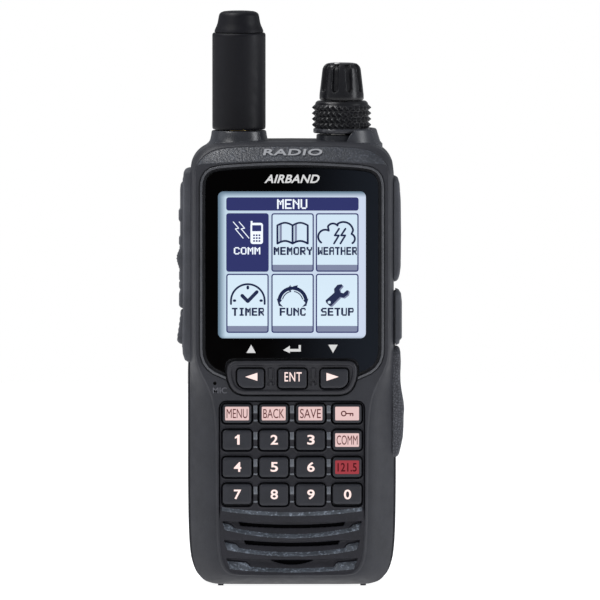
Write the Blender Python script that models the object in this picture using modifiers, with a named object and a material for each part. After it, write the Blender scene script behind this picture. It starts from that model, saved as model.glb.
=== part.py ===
"""Handheld aviation radio, modelled as an assembly of separate pieces.

Frame: +Z up (towards the antenna), the keypad and display face -Y, the battery faces +Y,
and the radio stands on its four foot nubs at Z = 0. All the numbers below are millimetres.
"""

import math

import bmesh
import bpy
from mathutils import Matrix, Vector

MM = 0.001

# ---------------------------------------------------------------- driving dimensions (mm)
TOP_Z = 132.3  # top of the casing
BASE_Z = 0.6  # underside of the casing, above the foot nubs
PART_Y = -1.0  # plane where the front case meets the rear chassis
SEAM = 0.15  # half of the gap at every seam
FACE_Y = -17.5  # front plateau
PANEL_Y = -16.9  # recessed keypad panel
WALL = 2.0
CAVITY_Y = -14.7  # inner side of the front wall
BAY_Y = 6.2  # back of the chassis plate, where the battery sits
BAY_Z = 105.85  # top of the battery bay
BACK_Y = 18.6

KEY_X = (-16.3, -5.4, 5.5, 16.4)
KEY_Z = (51.9, 44.0, 35.9, 27.7)
KEY_H = (5.6, 5.9, 5.9, 6.4)
KEY_W = 8.5
KEY_FRONT_Y = -18.2
KEY_GAP = 0.3
KEY_NAMES = (
    ("key_menu", "key_back", "key_save", "key_lock"),
    ("key_1", "key_2", "key_3", "key_comm"),
    ("key_4", "key_5", "key_6", "key_emergency"),
    ("key_7", "key_8", "key_9", "key_0"),
)
NAV_KEYS = (("key_left", -12.3, 7.9), ("key_enter", 0.15, 8.4), ("key_right", 12.6, 8.1))
NAV_Z = 62.4
NAV_H = 5.7
NAV_FRONT_Y = -19.3

SCREEN_Z = 96.15  # centre of the display window
SCREEN_W = 44.4

ANT_X, KNOB_X, TOP_Y = -15.8, 14.8, 4.5  # axes of the antenna and the knobs
SLOTS = ((19.3, 31.0, 1.3), (13.4, 27.6, 1.4), (7.9, 12.0, 1.1))  # z, width, height
POSTS = ((-26.2, 14.0), (26.2, 14.0), (-26.2, 101.5), (26.2, 101.5))
SIDE_Y0, SIDE_Y1 = -11.2, 2.2  # depth of the side fittings

# Right half of the casing's front view, from the top centre to the bottom centre.
OUT = [
    (0, 132.3), (8, 132.25), (16, 132.05), (22, 131.6), (25, 130.8), (27.4, 129.4),
    (29.1, 127.4), (30.0, 125.2), (30.3, 122.5), (30.3, 114), (30.3, 100), (30.3, 85),
    (30.3, 72), (30.3, 68), (30.3, 64), (30.3, 60), (30.3, 56), (30.3, 51), (30.3, 45),
    (30.3, 34), (30.2, 22), (29.8, 14), (29.0, 9), (27.6, 5.2), (25.5, 2.8), (22.8, 1.4),
    (19.5, 0.7), (10, 0.6), (0, 0.6),
]
# The same stations on the edge of the front plateau, which narrows below the display.
CREASE = [
    (0, 127.1), (8, 127.0), (16, 126.7), (22, 126.4), (25.4, 126.2), (27.4, 126.0),
    (28.3, 125.4), (28.55, 124.2), (28.6, 122.5), (28.6, 114), (28.6, 100), (28.6, 85),
    (28.6, 72), (28.3, 68.3), (27.0, 64.3), (25.0, 60.4), (23.5, 56.4), (22.7, 51.3),
    (22.3, 45), (22.2, 34), (22.1, 22), (21.8, 13), (21.2, 8.4), (20.0, 5.6), (18.2, 4.2),
    (15.5, 3.8), (12, 3.7), (6, 3.6), (0, 3.6),
]
# The rear half is 0.7 mm wider at the grip than at the top.
REAR = [
    (x if z > 84 else x + 0.7 * min(1.0, (84 - z) / 20) * min(1.0, abs(x) / 26), z)
    for x, z in OUT
]

# Display window, right half, from the top centre to the notch over the navigation keys.
LENS = [
    (0, 125.0), (8, 124.85), (16, 124.45), (21.6, 124.0), (23.6, 123.5), (25.0, 122.2),
    (25.6, 120.4), (25.7, 118.4), (25.7, 71.2), (25.5, 69.3), (24.9, 67.5), (23.4, 65.8),
    (21.4, 64.6), (19.9, 64.0), (19.9, 66.2), (19.0, 67.7), (17.2, 68.3), (0, 68.4),
]
# Raised surround of the navigation keys.
POD = [
    (0, 67.7), (16.8, 67.6), (18.6, 67.0), (19.3, 65.4), (19.3, 63.6), (18.6, 60.9),
    (17.2, 58.6), (15.2, 57.7), (13.6, 57.5), (0, 57.5),
]


def whole(half):
    """The closed outline of a right half, clockwise from its first point."""
    return list(half) + [(-x, z) for x, z in reversed(half) if abs(x) > 1e-9]


def inset(points, d):
    """A clockwise outline moved inwards by d, or outwards where d is negative."""
    made = []
    n = len(points)
    for i in range(n):
        a, b, c = Vector(points[i - 1]), Vector(points[i]), Vector(points[(i + 1) % n])
        u, v = (b - a).normalized(), (c - b).normalized()
        n1, n2 = Vector((u.y, -u.x)), Vector((v.y, -v.x))
        m = (n1 + n2).normalized()
        p = b + m * (d / max(0.45, m.dot(n1)))
        made.append((p.x, p.y))
    return made


def below(points, z):
    """The part of a clockwise outline under the height z."""
    made = []
    n = len(points)
    for i in range(n):
        p, q = points[i], points[(i + 1) % n]
        if p[1] <= z:
            made.append(p)
        if (p[1] <= z) != (q[1] <= z):
            t = (z - p[1]) / (q[1] - p[1])
            made.append((p[0] + t * (q[0] - p[0]), z))
    return made


def above(points, z):
    return [(x, -w) for x, w in reversed(below([(x, -w) for x, w in reversed(points)], -z))]


def rounded(w, h, r, seg=3, cx=0.0, cy=0.0):
    """A rounded rectangle, clockwise. r is one radius, or four from the upper right, clockwise."""
    radii = [r] * 4 if isinstance(r, (int, float)) else r
    made = []
    for k, (sx, sy) in enumerate(((1, 1), (1, -1), (-1, -1), (-1, 1))):
        q = radii[k]
        mx, my = cx + sx * (w / 2 - q), cy + sy * (h / 2 - q)
        start = math.radians(90 - 90 * k)
        for i in range(seg + 1):
            a = start - math.radians(90) * i / seg
            made.append((mx + q * math.cos(a), my + q * math.sin(a)))
    return made


# ---------------------------------------------------------------- scene and materials
for old in list(bpy.data.objects):
    bpy.data.objects.remove(old, do_unlink=True)
PARTS = bpy.data.collections.new("handheld_aviation_radio")
CUTTERS = bpy.data.collections.new("cutters")
for folder in (PARTS, CUTTERS):
    bpy.context.scene.collection.children.link(folder)


def material(name, colour, roughness, metallic=0.0):
    made = bpy.data.materials.new(name)
    made.use_nodes = True
    shader = made.node_tree.nodes["Principled BSDF"]
    shader.inputs["Base Color"].default_value = (*colour, 1.0)
    shader.inputs["Roughness"].default_value = roughness
    shader.inputs["Metallic"].default_value = metallic
    return made


CASE = material("case_plastic", (0.045, 0.047, 0.055), 0.55)
CHASSIS = material("chassis_metal", (0.04, 0.042, 0.048), 0.5, 0.4)
RUBBER = material("black_rubber", (0.05, 0.052, 0.06), 0.75)
KEYS = material("key_rubber", (0.035, 0.038, 0.047), 0.6)
PINK = material("lit_key", (0.85, 0.6, 0.58), 0.5)
RED = material("red_key", (0.5, 0.03, 0.05), 0.5)
GLOSS = material("window_black", (0.004, 0.004, 0.005), 0.08)
LCD = material("display", (0.65, 0.78, 0.9), 0.3)
KNOB = material("knob_plastic", (0.02, 0.02, 0.024), 0.35)
METAL = material("plated_metal", (0.7, 0.68, 0.62), 0.3, 1.0)
BRASS = material("brass", (0.7, 0.5, 0.2), 0.3, 1.0)
BOARD = material("circuit_board", (0.02, 0.16, 0.07), 0.5)
CELL = material("cell_sleeve", (0.1, 0.2, 0.5), 0.4)
SEAL = material("seal_rubber", (0.02, 0.02, 0.02), 0.8)


# ---------------------------------------------------------------- modelling helpers
def place(name, mesh, finish=None, at=(0, 0, 0)):
    """An object in the radio, or a helper that isn't rendered where it has no finish."""
    made = bpy.data.objects.new(name, mesh)
    made.location = [c * MM for c in at]
    if finish is None:
        CUTTERS.objects.link(made)
        made.hide_render = True
        made.display_type = "WIRE"
    else:
        PARTS.objects.link(made)
        if not mesh.materials:
            mesh.materials.append(finish)
    return made


def from_bmesh(name, bm, finish=None, at=(0, 0, 0)):
    bmesh.ops.recalc_face_normals(bm, faces=bm.faces)
    mesh = bpy.data.meshes.new(name)
    bm.to_mesh(mesh)
    bm.free()
    return place(name, mesh, finish, at)


AXES = {
    "X": Matrix(((0, 0, 1), (1, 0, 0), (0, 1, 0))),
    "Y": Matrix(((1, 0, 0), (0, 0, -1), (0, 1, 0))),
    "Z": Matrix.Identity(3),
}


def prism(name, outline, lo, hi, axis="Y", finish=None, at=(0, 0, 0), bevel=0.0):
    """A flat outline extruded along an axis: (x, z) along Y, (y, z) along X, (x, y) along Z."""
    curve = bpy.data.curves.new(name, "CURVE")
    curve.dimensions = "2D"
    curve.fill_mode = "BOTH"
    curve.extrude = (hi - lo) / 2 * MM
    spline = curve.splines.new("POLY")
    spline.points.add(len(outline) - 1)
    for point, (u, v) in zip(spline.points, outline):
        point.co = (u * MM, v * MM, 0, 1)
    spline.use_cyclic_u = True
    drawn = bpy.data.objects.new(name + ".curve", curve)
    CUTTERS.objects.link(drawn)
    bpy.context.view_layer.update()
    mesh = bpy.data.meshes.new_from_object(
        drawn.evaluated_get(bpy.context.evaluated_depsgraph_get())
    )
    bpy.data.objects.remove(drawn, do_unlink=True)
    bm = bmesh.new()
    bm.from_mesh(mesh)
    bpy.data.meshes.remove(mesh)
    bmesh.ops.remove_doubles(bm, verts=bm.verts, dist=1e-6)
    bmesh.ops.dissolve_limit(bm, angle_limit=0.001, verts=bm.verts, edges=bm.edges)
    middle = (hi + lo) / 2
    turn = AXES[axis].to_4x4()
    shift = {"X": (middle, 0, 0), "Y": (0, middle, 0), "Z": (0, 0, middle)}[axis]
    bmesh.ops.transform(bm, matrix=Matrix.Translation([c * MM for c in shift]) @ turn, verts=bm.verts)
    if bevel:
        k = "XYZ".index(axis)
        ends = {lo * MM, hi * MM}
        rim = [
            e
            for e in bm.edges
            if any(all(abs(v.co[k] - z) < 1e-7 for v in e.verts) for z in ends)
            and len(e.link_faces) == 2
            and e.calc_face_angle(0) > 0.8
        ]
        bmesh.ops.bevel(
            bm, geom=rim, offset=bevel * MM, offset_type="OFFSET", segments=1,
            profile=0.5, affect="EDGES", clamp_overlap=True,
        )
    return from_bmesh(name, bm, finish, at)


def block(name, lo, hi, finish=None, at=(0, 0, 0), radius=0.0, along="Y", segments=3):
    """A box between two corners, its four edges along one axis rounded."""
    bm = bmesh.new()
    bmesh.ops.create_cube(bm, size=1)
    size = [(h - w) * MM for w, h in zip(lo, hi)]
    centre = [(h + w) / 2 * MM for w, h in zip(lo, hi)]
    bmesh.ops.scale(bm, vec=size, verts=bm.verts)
    bmesh.ops.translate(bm, vec=centre, verts=bm.verts)
    if radius:
        k = "XYZ".index(along)
        edges = [
            e for e in bm.edges
            if abs((e.verts[0].co - e.verts[1].co).normalized()[k]) > 0.99
        ]
        bmesh.ops.bevel(
            bm, geom=edges, offset=radius * MM, offset_type="OFFSET",
            segments=segments, profile=0.5, affect="EDGES",
        )
    return from_bmesh(name, bm, finish, at)


def turned(name, profile, finish=None, at=(0, 0, 0), steps=32, ring=False):
    """A profile of (radius, z), outer side downwards, turned about Z. A ring's profile is closed."""
    mesh = bpy.data.meshes.new(name)
    n = len(profile)
    edges = [(i, i + 1) for i in range(n - 1)] + ([(n - 1, 0)] if ring else [])
    mesh.from_pydata([(r * MM, 0, z * MM) for r, z in profile], edges, [])
    made = place(name, mesh, finish, at)
    screw = made.modifiers.new("turn", "SCREW")
    screw.axis = "Z"
    screw.angle = math.tau
    screw.steps = screw.render_steps = steps
    screw.use_merge_vertices = True
    screw.merge_threshold = 1e-5
    screw.use_smooth_shade = True
    return made


def rod(name, radius, lo, hi, centre, axis="Z", finish=None, sides=20):
    """A cylinder between two heights along an axis, through a centre given by the other two."""
    bm = bmesh.new()
    bmesh.ops.create_cone(
        bm, cap_ends=True, segments=sides, radius1=radius * MM, radius2=radius * MM,
        depth=(hi - lo) * MM,
    )
    turn = {"Z": Matrix.Identity(4), "X": Matrix.Rotation(math.pi / 2, 4, "Y"),
            "Y": Matrix.Rotation(-math.pi / 2, 4, "X")}[axis]
    middle = (lo + hi) / 2
    spot = {"X": (middle, *centre), "Y": (centre[0], middle, centre[1]),
            "Z": (*centre, middle)}[axis]
    bmesh.ops.transform(bm, matrix=turn, verts=bm.verts)
    bmesh.ops.translate(bm, vec=[c * MM for c in spot], verts=bm.verts)
    return from_bmesh(name, bm, finish)


def loft(name, loops, finish=None):
    """A skin over outlines that have the same stations at different depths, closed at both ends."""
    bm = bmesh.new()
    rings = [
        [bm.verts.new((x * MM, y * MM, z * MM)) for x, z in outline]
        for y, outline in loops
    ]
    n = len(rings[0])
    for first, second in zip(rings, rings[1:]):
        for i in range(n):
            bm.faces.new((first[i], first[(i + 1) % n], second[(i + 1) % n], second[i]))
    bm.faces.new(rings[0])
    bm.faces.new(list(reversed(rings[-1])))
    return from_bmesh(name, bm, finish)


def combine(target, operation, helpers):
    """A Boolean modifier that joins the helpers to the target, or cuts them from it."""
    group = bpy.data.collections.new(f"{operation.lower()}.{target.name}")
    CUTTERS.children.link(group)
    for helper in helpers:
        CUTTERS.objects.unlink(helper) if helper.name in CUTTERS.objects else None
        group.objects.link(helper)
    modifier = target.modifiers.new(operation.lower(), "BOOLEAN")
    modifier.operation = operation
    modifier.solver = "EXACT"
    modifier.operand_type = "COLLECTION"
    modifier.collection = group
    return target


def bake(target):
    """The target with its modifiers applied."""
    bpy.context.view_layer.update()
    graph = bpy.context.evaluated_depsgraph_get()
    mesh = bpy.data.meshes.new_from_object(target.evaluated_get(graph))
    finish = list(target.data.materials)
    target.modifiers.clear()
    target.data = mesh
    if finish and not mesh.materials:
        mesh.materials.append(finish[0])
    return target


def pivot(piece, at):
    """Moves a piece's origin to a point, leaving its shape where it is."""
    target = Vector([c * MM for c in at])
    piece.data.transform(Matrix.Translation(piece.location - target))
    piece.location = target
    return piece


# ---------------------------------------------------------------- casing solids
FULL, EDGE, BACK = whole(OUT), whole(CREASE), whole(REAR)
FRONT_SKIN = (
    (PART_Y - SEAM, FULL),
    (-10.5, FULL),
    (-12.0, inset(FULL, 0.75)),
    (-12.9, inset(FULL, 1.7)),
    (FACE_Y, EDGE),
)
SHOULDER, PACK = above(BACK, BAY_Z + SEAM), below(BACK, BAY_Z - SEAM)


def top_fittings(keep):
    """The antenna collar, the knob boss and the knob guard, each kept on one side of the seam."""
    made = []
    shapes = (
        ("collar", [(0, 135.1), (8.15, 135.1), (8.75, 131.8), (8.9, 129.8), (0, 129.8)], ANT_X, False),
        ("boss", [(0, 133.9), (7.5, 133.9), (7.6, 130), (0, 130)], KNOB_X, False),
        ("guard", [(10.1, 135.7), (10.4, 135.4), (11.5, 131.6), (12.0, 129.6), (9.3, 129.6), (9.3, 135.7)], KNOB_X, True),
    )
    for label, profile, x, ring in shapes:
        piece = turned(f"{label}.{keep}", profile, at=(x, TOP_Y, 0), steps=36, ring=ring)
        away = [
            block(f"{label}.{keep}.side", (-40, PART_Y - SEAM, 120), (40, 40, 143.8))
            if keep == "front"
            else block(f"{label}.{keep}.side", (-40, -40, 120), (40, PART_Y + SEAM, 143.8))
        ]
        if label == "guard":
            away.append(
                prism(
                    f"{label}.{keep}.open",
                    [(0, 124.8), (0, 138.8), (19.6, 138.8), (18.9, 135.8), (17.6, 134.7), (16.7, 133.2), (16.1, 130.8), (16.0, 124.8)],
                    -20, 30,
                )
            )
        combine(piece, "DIFFERENCE", away)
        made.append(bake(piece))
    return made


def body_clearance(tag, d=0.3):
    """The casing grown by a gap, for cutting the fittings that lie on its sides."""
    front = loft(
        f"clear_front.{tag}",
        [(20, inset(FULL, -d)), (-10.5 - d / 2, inset(FULL, -d)), (-12.1, inset(FULL, 0.75 - d)),
         (-13.1, inset(FULL, 1.7 - d)), (FACE_Y - d, inset(EDGE, -d))],
    )
    rear = loft(f"clear_rear.{tag}", [(PART_Y - 0.1, inset(BACK, -d)), (25, inset(BACK, -d))])
    return [front, rear]


# ---------------------------------------------------------------- front case
front_case = loft("front_case", FRONT_SKIN, CASE)
combine(
    front_case,
    "UNION",
    [prism("lens_frame", inset(whole(LENS), -1.7), -17.95, -16.0, bevel=0.2)]
    + top_fittings("front")
    + [rod(f"front_foot_{i}", 0.85, 0.0, 2.0, (x, -8.0), sides=12) for i, x in enumerate((-21.2, 21.2))],
)
bake(front_case)
inner = [
    (PART_Y + 1, inset(FULL, WALL)),
    (-10.1, inset(FULL, WALL)),
    (-11.9, inset(FULL, WALL + 1.6)),
    (CAVITY_Y, inset(EDGE, 1.1)),
]
panel = below(inset(EDGE, 0.8), 55.7)
combine(
    front_case,
    "DIFFERENCE",
    [
        loft("front_cavity", inner),
        prism("lens_recess", inset(whole(LENS), -0.3), -19.0, -16.2),
        prism("screen_opening", rounded(SCREEN_W, SCREEN_W, 1.6, cy=SCREEN_Z), -17.0, -13.5),
        prism("key_panel", panel, -18.5, PANEL_Y),
        prism("pod_opening", inset(whole(POD), -0.3), -19.0, -13.5),
    ],
)
bake(front_case)
combine(front_case, "UNION", [
    rod(f"post_{i}", 2.0, -12.4, PART_Y - SEAM, (x, z), "Y", sides=14)
    for i, (x, z) in enumerate(POSTS)
] + [
    prism(
        f"grille_rib_{i}",
        [(-w / 2, z + 1.0), (-w / 4, z + 0.25), (0, z), (w / 4, z + 0.25), (w / 2, z + 1.0),
         (w / 2, z - 0.2), (w / 4, z - 0.95), (0, z - 1.2), (-w / 4, z - 0.95), (-w / 2, z - 0.2)],
        -17.6, -16.0,
    )
    for i, (z, w) in enumerate(((22.6, 38.6), (16.6, 38.0), (10.9, 37.0), (5.95, 33.0)))
] + [
    block(f"key_rib_{i}_{j}", (x - 0.55, -17.5, z - 2.4), (x + 0.55, -16.0, z + 2.4))
    for i, z in enumerate(KEY_Z)
    for j, x in enumerate(((KEY_X[0] + KEY_X[1]) / 2, (KEY_X[1] + KEY_X[2]) / 2, (KEY_X[2] + KEY_X[3]) / 2))
])
bake(front_case)
combine(
    front_case,
    "DIFFERENCE",
    [
        prism(f"{name}.hole", rounded(KEY_W + 2 * KEY_GAP, h + 2 * KEY_GAP, 1.2, cx=x, cy=z), -19.0, -13.5)
        for names, z, h in zip(KEY_NAMES, KEY_Z, KEY_H)
        for name, x in zip(names, KEY_X)
    ]
    + [
        prism(
            f"slot_{i}",
            [(-w / 2, z + h / 2 + 0.5), (0, z + h / 2 - 0.25), (w / 2, z + h / 2 + 0.5),
             (w / 2 - 0.6, z - h / 2 + 0.7), (0, z - h / 2 - 0.25), (-w / 2 + 0.6, z - h / 2 + 0.7)],
            -19.0, -13.0,
        )
        for i, (z, w, h) in enumerate(SLOTS)
    ]
    + [
        rod("mic_hole", 0.5, -19.0, -13.0, (-22.9, 60.9), "Y", sides=10),
        rod("ptt_hole", 1.6, -32.0, -26.0, (-6.0, 94.0), "X", sides=14),
        rod("monitor_hole", 1.6, -32.0, -26.0, (-6.0, 77.0), "X", sides=14),
        prism("jack_opening", rounded(7.0, 16.0, 1.2, cx=-6.1, cy=112.0), 26.0, 32.0, "X"),
        prism("dc_opening", rounded(6.6, 6.8, 1.2, cx=-6.2, cy=80.0), 26.0, 32.0, "X"),
    ]
    + [rod(f"pilot_{i}", 1.2, -10.5, 0.0, (x, z), "Y", sides=12) for i, (x, z) in enumerate(POSTS)],
)
bake(front_case)

# ---------------------------------------------------------------- rear chassis
rear_chassis = loft("rear_chassis", [(PART_Y + SEAM, BACK), (BAY_Y, BACK)], CHASSIS)
combine(
    rear_chassis,
    "UNION",
    [
        loft(
            "shoulder",
            [(2.0, SHOULDER), (12.0, SHOULDER), (14.6, inset(SHOULDER, 0.6)),
             (16.8, inset(SHOULDER, 1.7)), (BACK_Y, inset(SHOULDER, 3.8))],
        )
    ]
    + top_fittings("rear"),
)
bake(rear_chassis)
combine(
    rear_chassis,
    "DIFFERENCE",
    [
        prism("rear_cavity", inset(BACK, 2.1), -3.0, 4.2),
        prism("shoulder_cavity", inset(SHOULDER, 2.6), 3.0, 15.0),
    ],
)
bake(rear_chassis)
combine(
    rear_chassis,
    "UNION",
    [rod(f"screw_boss_{i}", 2.9, 1.4, 5.2, (x, z), "Y", sides=16) for i, (x, z) in enumerate(POSTS)],
)
bake(rear_chassis)
groove = prism("seal_groove", inset(BACK, 0.45), -3.0, -0.05)
combine(groove, "DIFFERENCE", [prism("seal_land", inset(BACK, 1.55), -5.0, 5.0)])
bake(groove)
combine(
    rear_chassis,
    "DIFFERENCE",
    [
        groove,
        rod("antenna_hole", 3.5, 123.8, 138.8, (ANT_X, TOP_Y), sides=24),
        rod("control_hole", 4.6, 123.8, 138.8, (KNOB_X, TOP_Y), sides=24),
        block("contact_opening", (-8.2, 2.0, 92.8), (8.2, 9.0, 99.2)),
    ]
    + [rod(f"screw_way_{i}", 1.3, -3.0, 9.0, (x, z), "Y", sides=12) for i, (x, z) in enumerate(POSTS)]
    + [rod(f"screw_sink_{i}", 2.3, 4.2, 9.0, (x, z), "Y", sides=16) for i, (x, z) in enumerate(POSTS)],
)
bake(rear_chassis)

case_seal = prism("case_seal", inset(BACK, 0.7), -0.95, -0.3, finish=SEAL)
combine(case_seal, "DIFFERENCE", [prism("seal_inside", inset(BACK, 1.3), -3.0, 3.0)])
bake(case_seal)

for i, (x, z) in enumerate(POSTS):
    screw = turned(
        f"case_screw_{i + 1}",
        [(0, 5.9), (1.5, 5.9), (1.9, 5.5), (1.9, 4.5), (1.0, 4.5), (1.0, -9.6), (0, -10.0)],
        METAL, steps=12,
    )
    combine(screw, "DIFFERENCE", [block(f"drive_{i}", (-1.2, -0.3, 5.2), (1.2, 0.3, 7.0))])
    bake(screw)
    screw.data.transform(Matrix.Rotation(-math.pi / 2, 4, "X"))
    screw.location = (x * MM, 0, z * MM)

# ---------------------------------------------------------------- display
display_window = prism("display_window", whole(LENS), -17.6, -16.4, finish=GLOSS, bevel=0.25)
lcd_module = block("lcd_module", (-23.8, -14.4, 70.6), (23.8, -12.7, 120.9), LCD, radius=0.8)
main_board = block("main_board", (-23.7, -11.6, 24.6), (23.7, -10.6, 127.0), BOARD, radius=2.0)
key_mat = block("key_mat", (-21.3, -12.4, 23.0), (21.3, -11.9, 66.8), SEAL, radius=1.0)

# ---------------------------------------------------------------- keys
FLANGE_FRONT = -14.4
for names, z, h in zip(KEY_NAMES, KEY_Z, KEY_H):
    for name, x in zip(names, KEY_X):
        finish = KEYS
        if name in ("key_menu", "key_back", "key_save", "key_lock", "key_comm"):
            finish = PINK
        if name == "key_emergency":
            finish = RED
        key = prism(name, rounded(KEY_W, h, 1.0), 0.0, 4.3, finish=finish,
                    at=(x, KEY_FRONT_Y, z), bevel=0.0)
        flange = block(f"{name}.flange", (-KEY_W / 2 - 0.45, 3.8, -h / 2 - 0.45),
                       (KEY_W / 2 + 0.45, 4.3, h / 2 + 0.45), at=(x, KEY_FRONT_Y, z))
        combine(key, "UNION", [flange])
        bake(key)

NAV_CORNERS = {
    "key_left": (0.9, 0.9, 2.6, 0.9),
    "key_enter": (0.9, 0.9, 0.9, 0.9),
    "key_right": (0.9, 2.6, 0.9, 0.9),
}
nav_key_bezel = prism("nav_key_bezel", whole(POD), -18.6, -14.3, finish=CASE, bevel=0.3)
combine(nav_key_bezel, "UNION", [prism("pod_flange", inset(whole(POD), -1.0), -14.4, -14.0)])
bake(nav_key_bezel)
combine(
    nav_key_bezel,
    "DIFFERENCE",
    [
        prism(f"{name}.hole", rounded(w + 0.6, NAV_H + 0.6, [r + 0.3 for r in NAV_CORNERS[name]], cx=x, cy=NAV_Z), -20.0, -13.0)
        for name, x, w in NAV_KEYS
    ],
)
bake(nav_key_bezel)
for name, x, w in NAV_KEYS:
    key = prism(name, rounded(w, NAV_H, list(NAV_CORNERS[name])), 0.0, 6.0, finish=KEYS,
                at=(x, NAV_FRONT_Y, NAV_Z))
    flange = block(f"{name}.flange", (-w / 2 - 0.6, 5.6, -NAV_H / 2 - 0.6),
                   (w / 2 + 0.6, 6.0, NAV_H / 2 + 0.6), at=(x, NAV_FRONT_Y, NAV_Z))
    combine(key, "UNION", [flange])
    bake(key)

# ---------------------------------------------------------------- speaker and microphone
speaker = prism("speaker", rounded(37.0, 15.6, 7.7, 5, cy=14.2), -14.1, -12.6, finish=METAL)
combine(speaker, "UNION", [
    prism("speaker_basket", rounded(30.0, 13.0, 6.4, 5, cy=14.2), -12.8, -9.6),
    rod("speaker_magnet", 6.0, -9.9, -7.4, (0.0, 14.2), "Y", sides=20),
])
bake(speaker)
combine(speaker, "DIFFERENCE", [prism("speaker_dish", rounded(34.0, 12.8, 6.3, 5, cy=14.2), -15.0, -13.2)])
bake(speaker)
speaker_mesh = prism("speaker_mesh", rounded(37.0, 15.6, 4.0, 3, cy=14.2), -14.55, -14.35, finish=SEAL)
microphone = rod("microphone", 1.2, -14.4, -12.9, (-21.9, 60.9), "Y", METAL, sides=16)

# ---------------------------------------------------------------- left side: push-to-talk and monitor
ptt_frame = prism(
    "ptt_frame",
    [(-28.0, 124.3), (-31.7, 124.0), (-32.4, 122.6), (-32.4, 80.0), (-32.7, 71.2),
     (-32.6, 69.3), (-31.0, 67.4), (-28.0, 66.6)][::-1],
    SIDE_Y0, SIDE_Y1, finish=RUBBER, bevel=0.7,
)
combine(ptt_frame, "DIFFERENCE", body_clearance("ptt") + [
    block("ptt_window", (-36, -9.2, 71.6), (-26, -0.2, 120.7), radius=1.2, along="X")])
bake(ptt_frame)

PTT_EDGE = [
    (-31.4, 120.3), (-32.7, 120.3), (-33.3, 118.6), (-33.3, 112.2), (-33.75, 111.4),
    (-33.75, 109.0), (-33.3, 108.2), (-33.3, 104.2), (-33.65, 103.6), (-33.65, 101.7),
    (-33.4, 101.2), (-33.7, 99.6), (-34.3, 98.4), (-34.4, 96.6), (-33.9, 95.2),
    (-33.5, 93.8), (-33.6, 93.0), (-33.6, 91.2), (-33.3, 90.7), (-33.6, 90.1),
    (-33.6, 88.7), (-33.3, 88.0), (-33.65, 86.6), (-33.65, 83.2), (-33.2, 82.6), (-31.4, 82.6),
]
ptt_button = prism("ptt_button", PTT_EDGE[::-1], -8.9, -0.5, finish=RUBBER, bevel=0.35)
combine(ptt_button, "UNION", [rod("ptt_plunger", 1.2, -32.0, -29.0, (-6.0, 94.0), "X", sides=12)])
bake(ptt_button)
pivot(ptt_button, (-31.4, -4.7, 101.4))
monitor_button = prism(
    "monitor_button",
    [(-31.4, 82.1), (-33.2, 82.1), (-34.3, 73.3), (-33.9, 72.4), (-33.0, 72.0), (-31.4, 72.0)][::-1],
    -8.9, -0.5, finish=RUBBER, bevel=0.35,
)
combine(monitor_button, "UNION", [rod("monitor_plunger", 1.2, -32.0, -29.0, (-6.0, 77.0), "X", sides=12)])
bake(monitor_button)
pivot(monitor_button, (-31.4, -4.7, 77.0))

side_switch_board = block("side_switch_board", (-27.6, -9.0, 73.0), (-26.8, -3.0, 98.0), BOARD)
combine(side_switch_board, "UNION", [
    rod(f"side_switch_{i}", 1.8, -28.0, -27.2, (-6.0, z), "X", sides=16) for i, z in enumerate((77.0, 94.0))])
bake(side_switch_board)

# ---------------------------------------------------------------- right side: jacks, covers and grip pad
COVER_AXIS = (31.6, 2.6)
mic_jack_cover = prism(
    "mic_jack_cover",
    [(29.0, 122.0), (31.2, 121.8), (32.0, 119.6), (32.4, 114.5), (32.5, 105.0), (32.4, 94.8),
     (31.9, 92.3), (31.4, 90.8), (29.0, 90.6)],
    SIDE_Y0, SIDE_Y1, finish=RUBBER, bevel=0.5,
)
combine(mic_jack_cover, "DIFFERENCE", body_clearance("mic"))
bake(mic_jack_cover)
combine(mic_jack_cover, "UNION", [prism("jack_plug", rounded(5.6, 14.6, 1.0, cx=-6.2, cy=112.0), 29.3, 31.2, "X")])
bake(mic_jack_cover)
pivot(mic_jack_cover, (*COVER_AXIS, 106.3))

dc_jack_cover = prism(
    "dc_jack_cover",
    [(28.6, 88.2), (31.4, 88.3), (32.4, 87.0), (32.75, 84.5), (32.75, 73.7), (32.1, 73.3),
     (32.0, 71.9), (28.6, 71.7)],
    -12.2, SIDE_Y1, finish=RUBBER, bevel=0.5,
)
combine(dc_jack_cover, "DIFFERENCE", body_clearance("dc"))
bake(dc_jack_cover)
combine(dc_jack_cover, "UNION", [prism("dc_plug", rounded(5.0, 5.4, 1.0, cx=-6.3, cy=80.0), 29.3, 31.2, "X")])
bake(dc_jack_cover)
pivot(dc_jack_cover, (*COVER_AXIS, 80.0))

side_grip_pad = prism(
    "side_grip_pad",
    [(29.0, 71.2), (32.1, 71.0), (32.45, 66.5), (32.35, 60.6), (32.6, 58.6), (33.0, 56.2),
     (33.45, 52.6), (33.3, 47.2), (33.05, 44.2), (32.4, 41.4), (31.9, 39.6), (31.4, 38.5), (29.0, 38.2)],
    SIDE_Y0, SIDE_Y1, finish=RUBBER, bevel=0.5,
)
combine(side_grip_pad, "DIFFERENCE", body_clearance("grip"))
bake(side_grip_pad)

jack_block = block("jack_block", (20.0, -9.2, 104.4), (28.6, -3.0, 119.6), SEAL, radius=0.9, along="X")
combine(jack_block, "DIFFERENCE", [
    rod("jack_35", 1.8, 21.0, 30.0, (-6.1, 108.3), "X", sides=20),
    rod("jack_25", 1.3, 21.0, 30.0, (-6.1, 115.7), "X", sides=20),
])
bake(jack_block)
dc_jack = block("dc_jack", (20.0, -9.2, 77.0), (28.6, -3.2, 83.0), SEAL, radius=0.9, along="X")
combine(dc_jack, "DIFFERENCE", [rod("dc_bore", 2.2, 21.0, 30.0, (-6.2, 80.0), "X", sides=20)])
bake(dc_jack)
combine(dc_jack, "UNION", [rod("dc_pin", 0.6, 20.5, 27.0, (-6.2, 80.0), "X", sides=10)])
bake(dc_jack)

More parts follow.
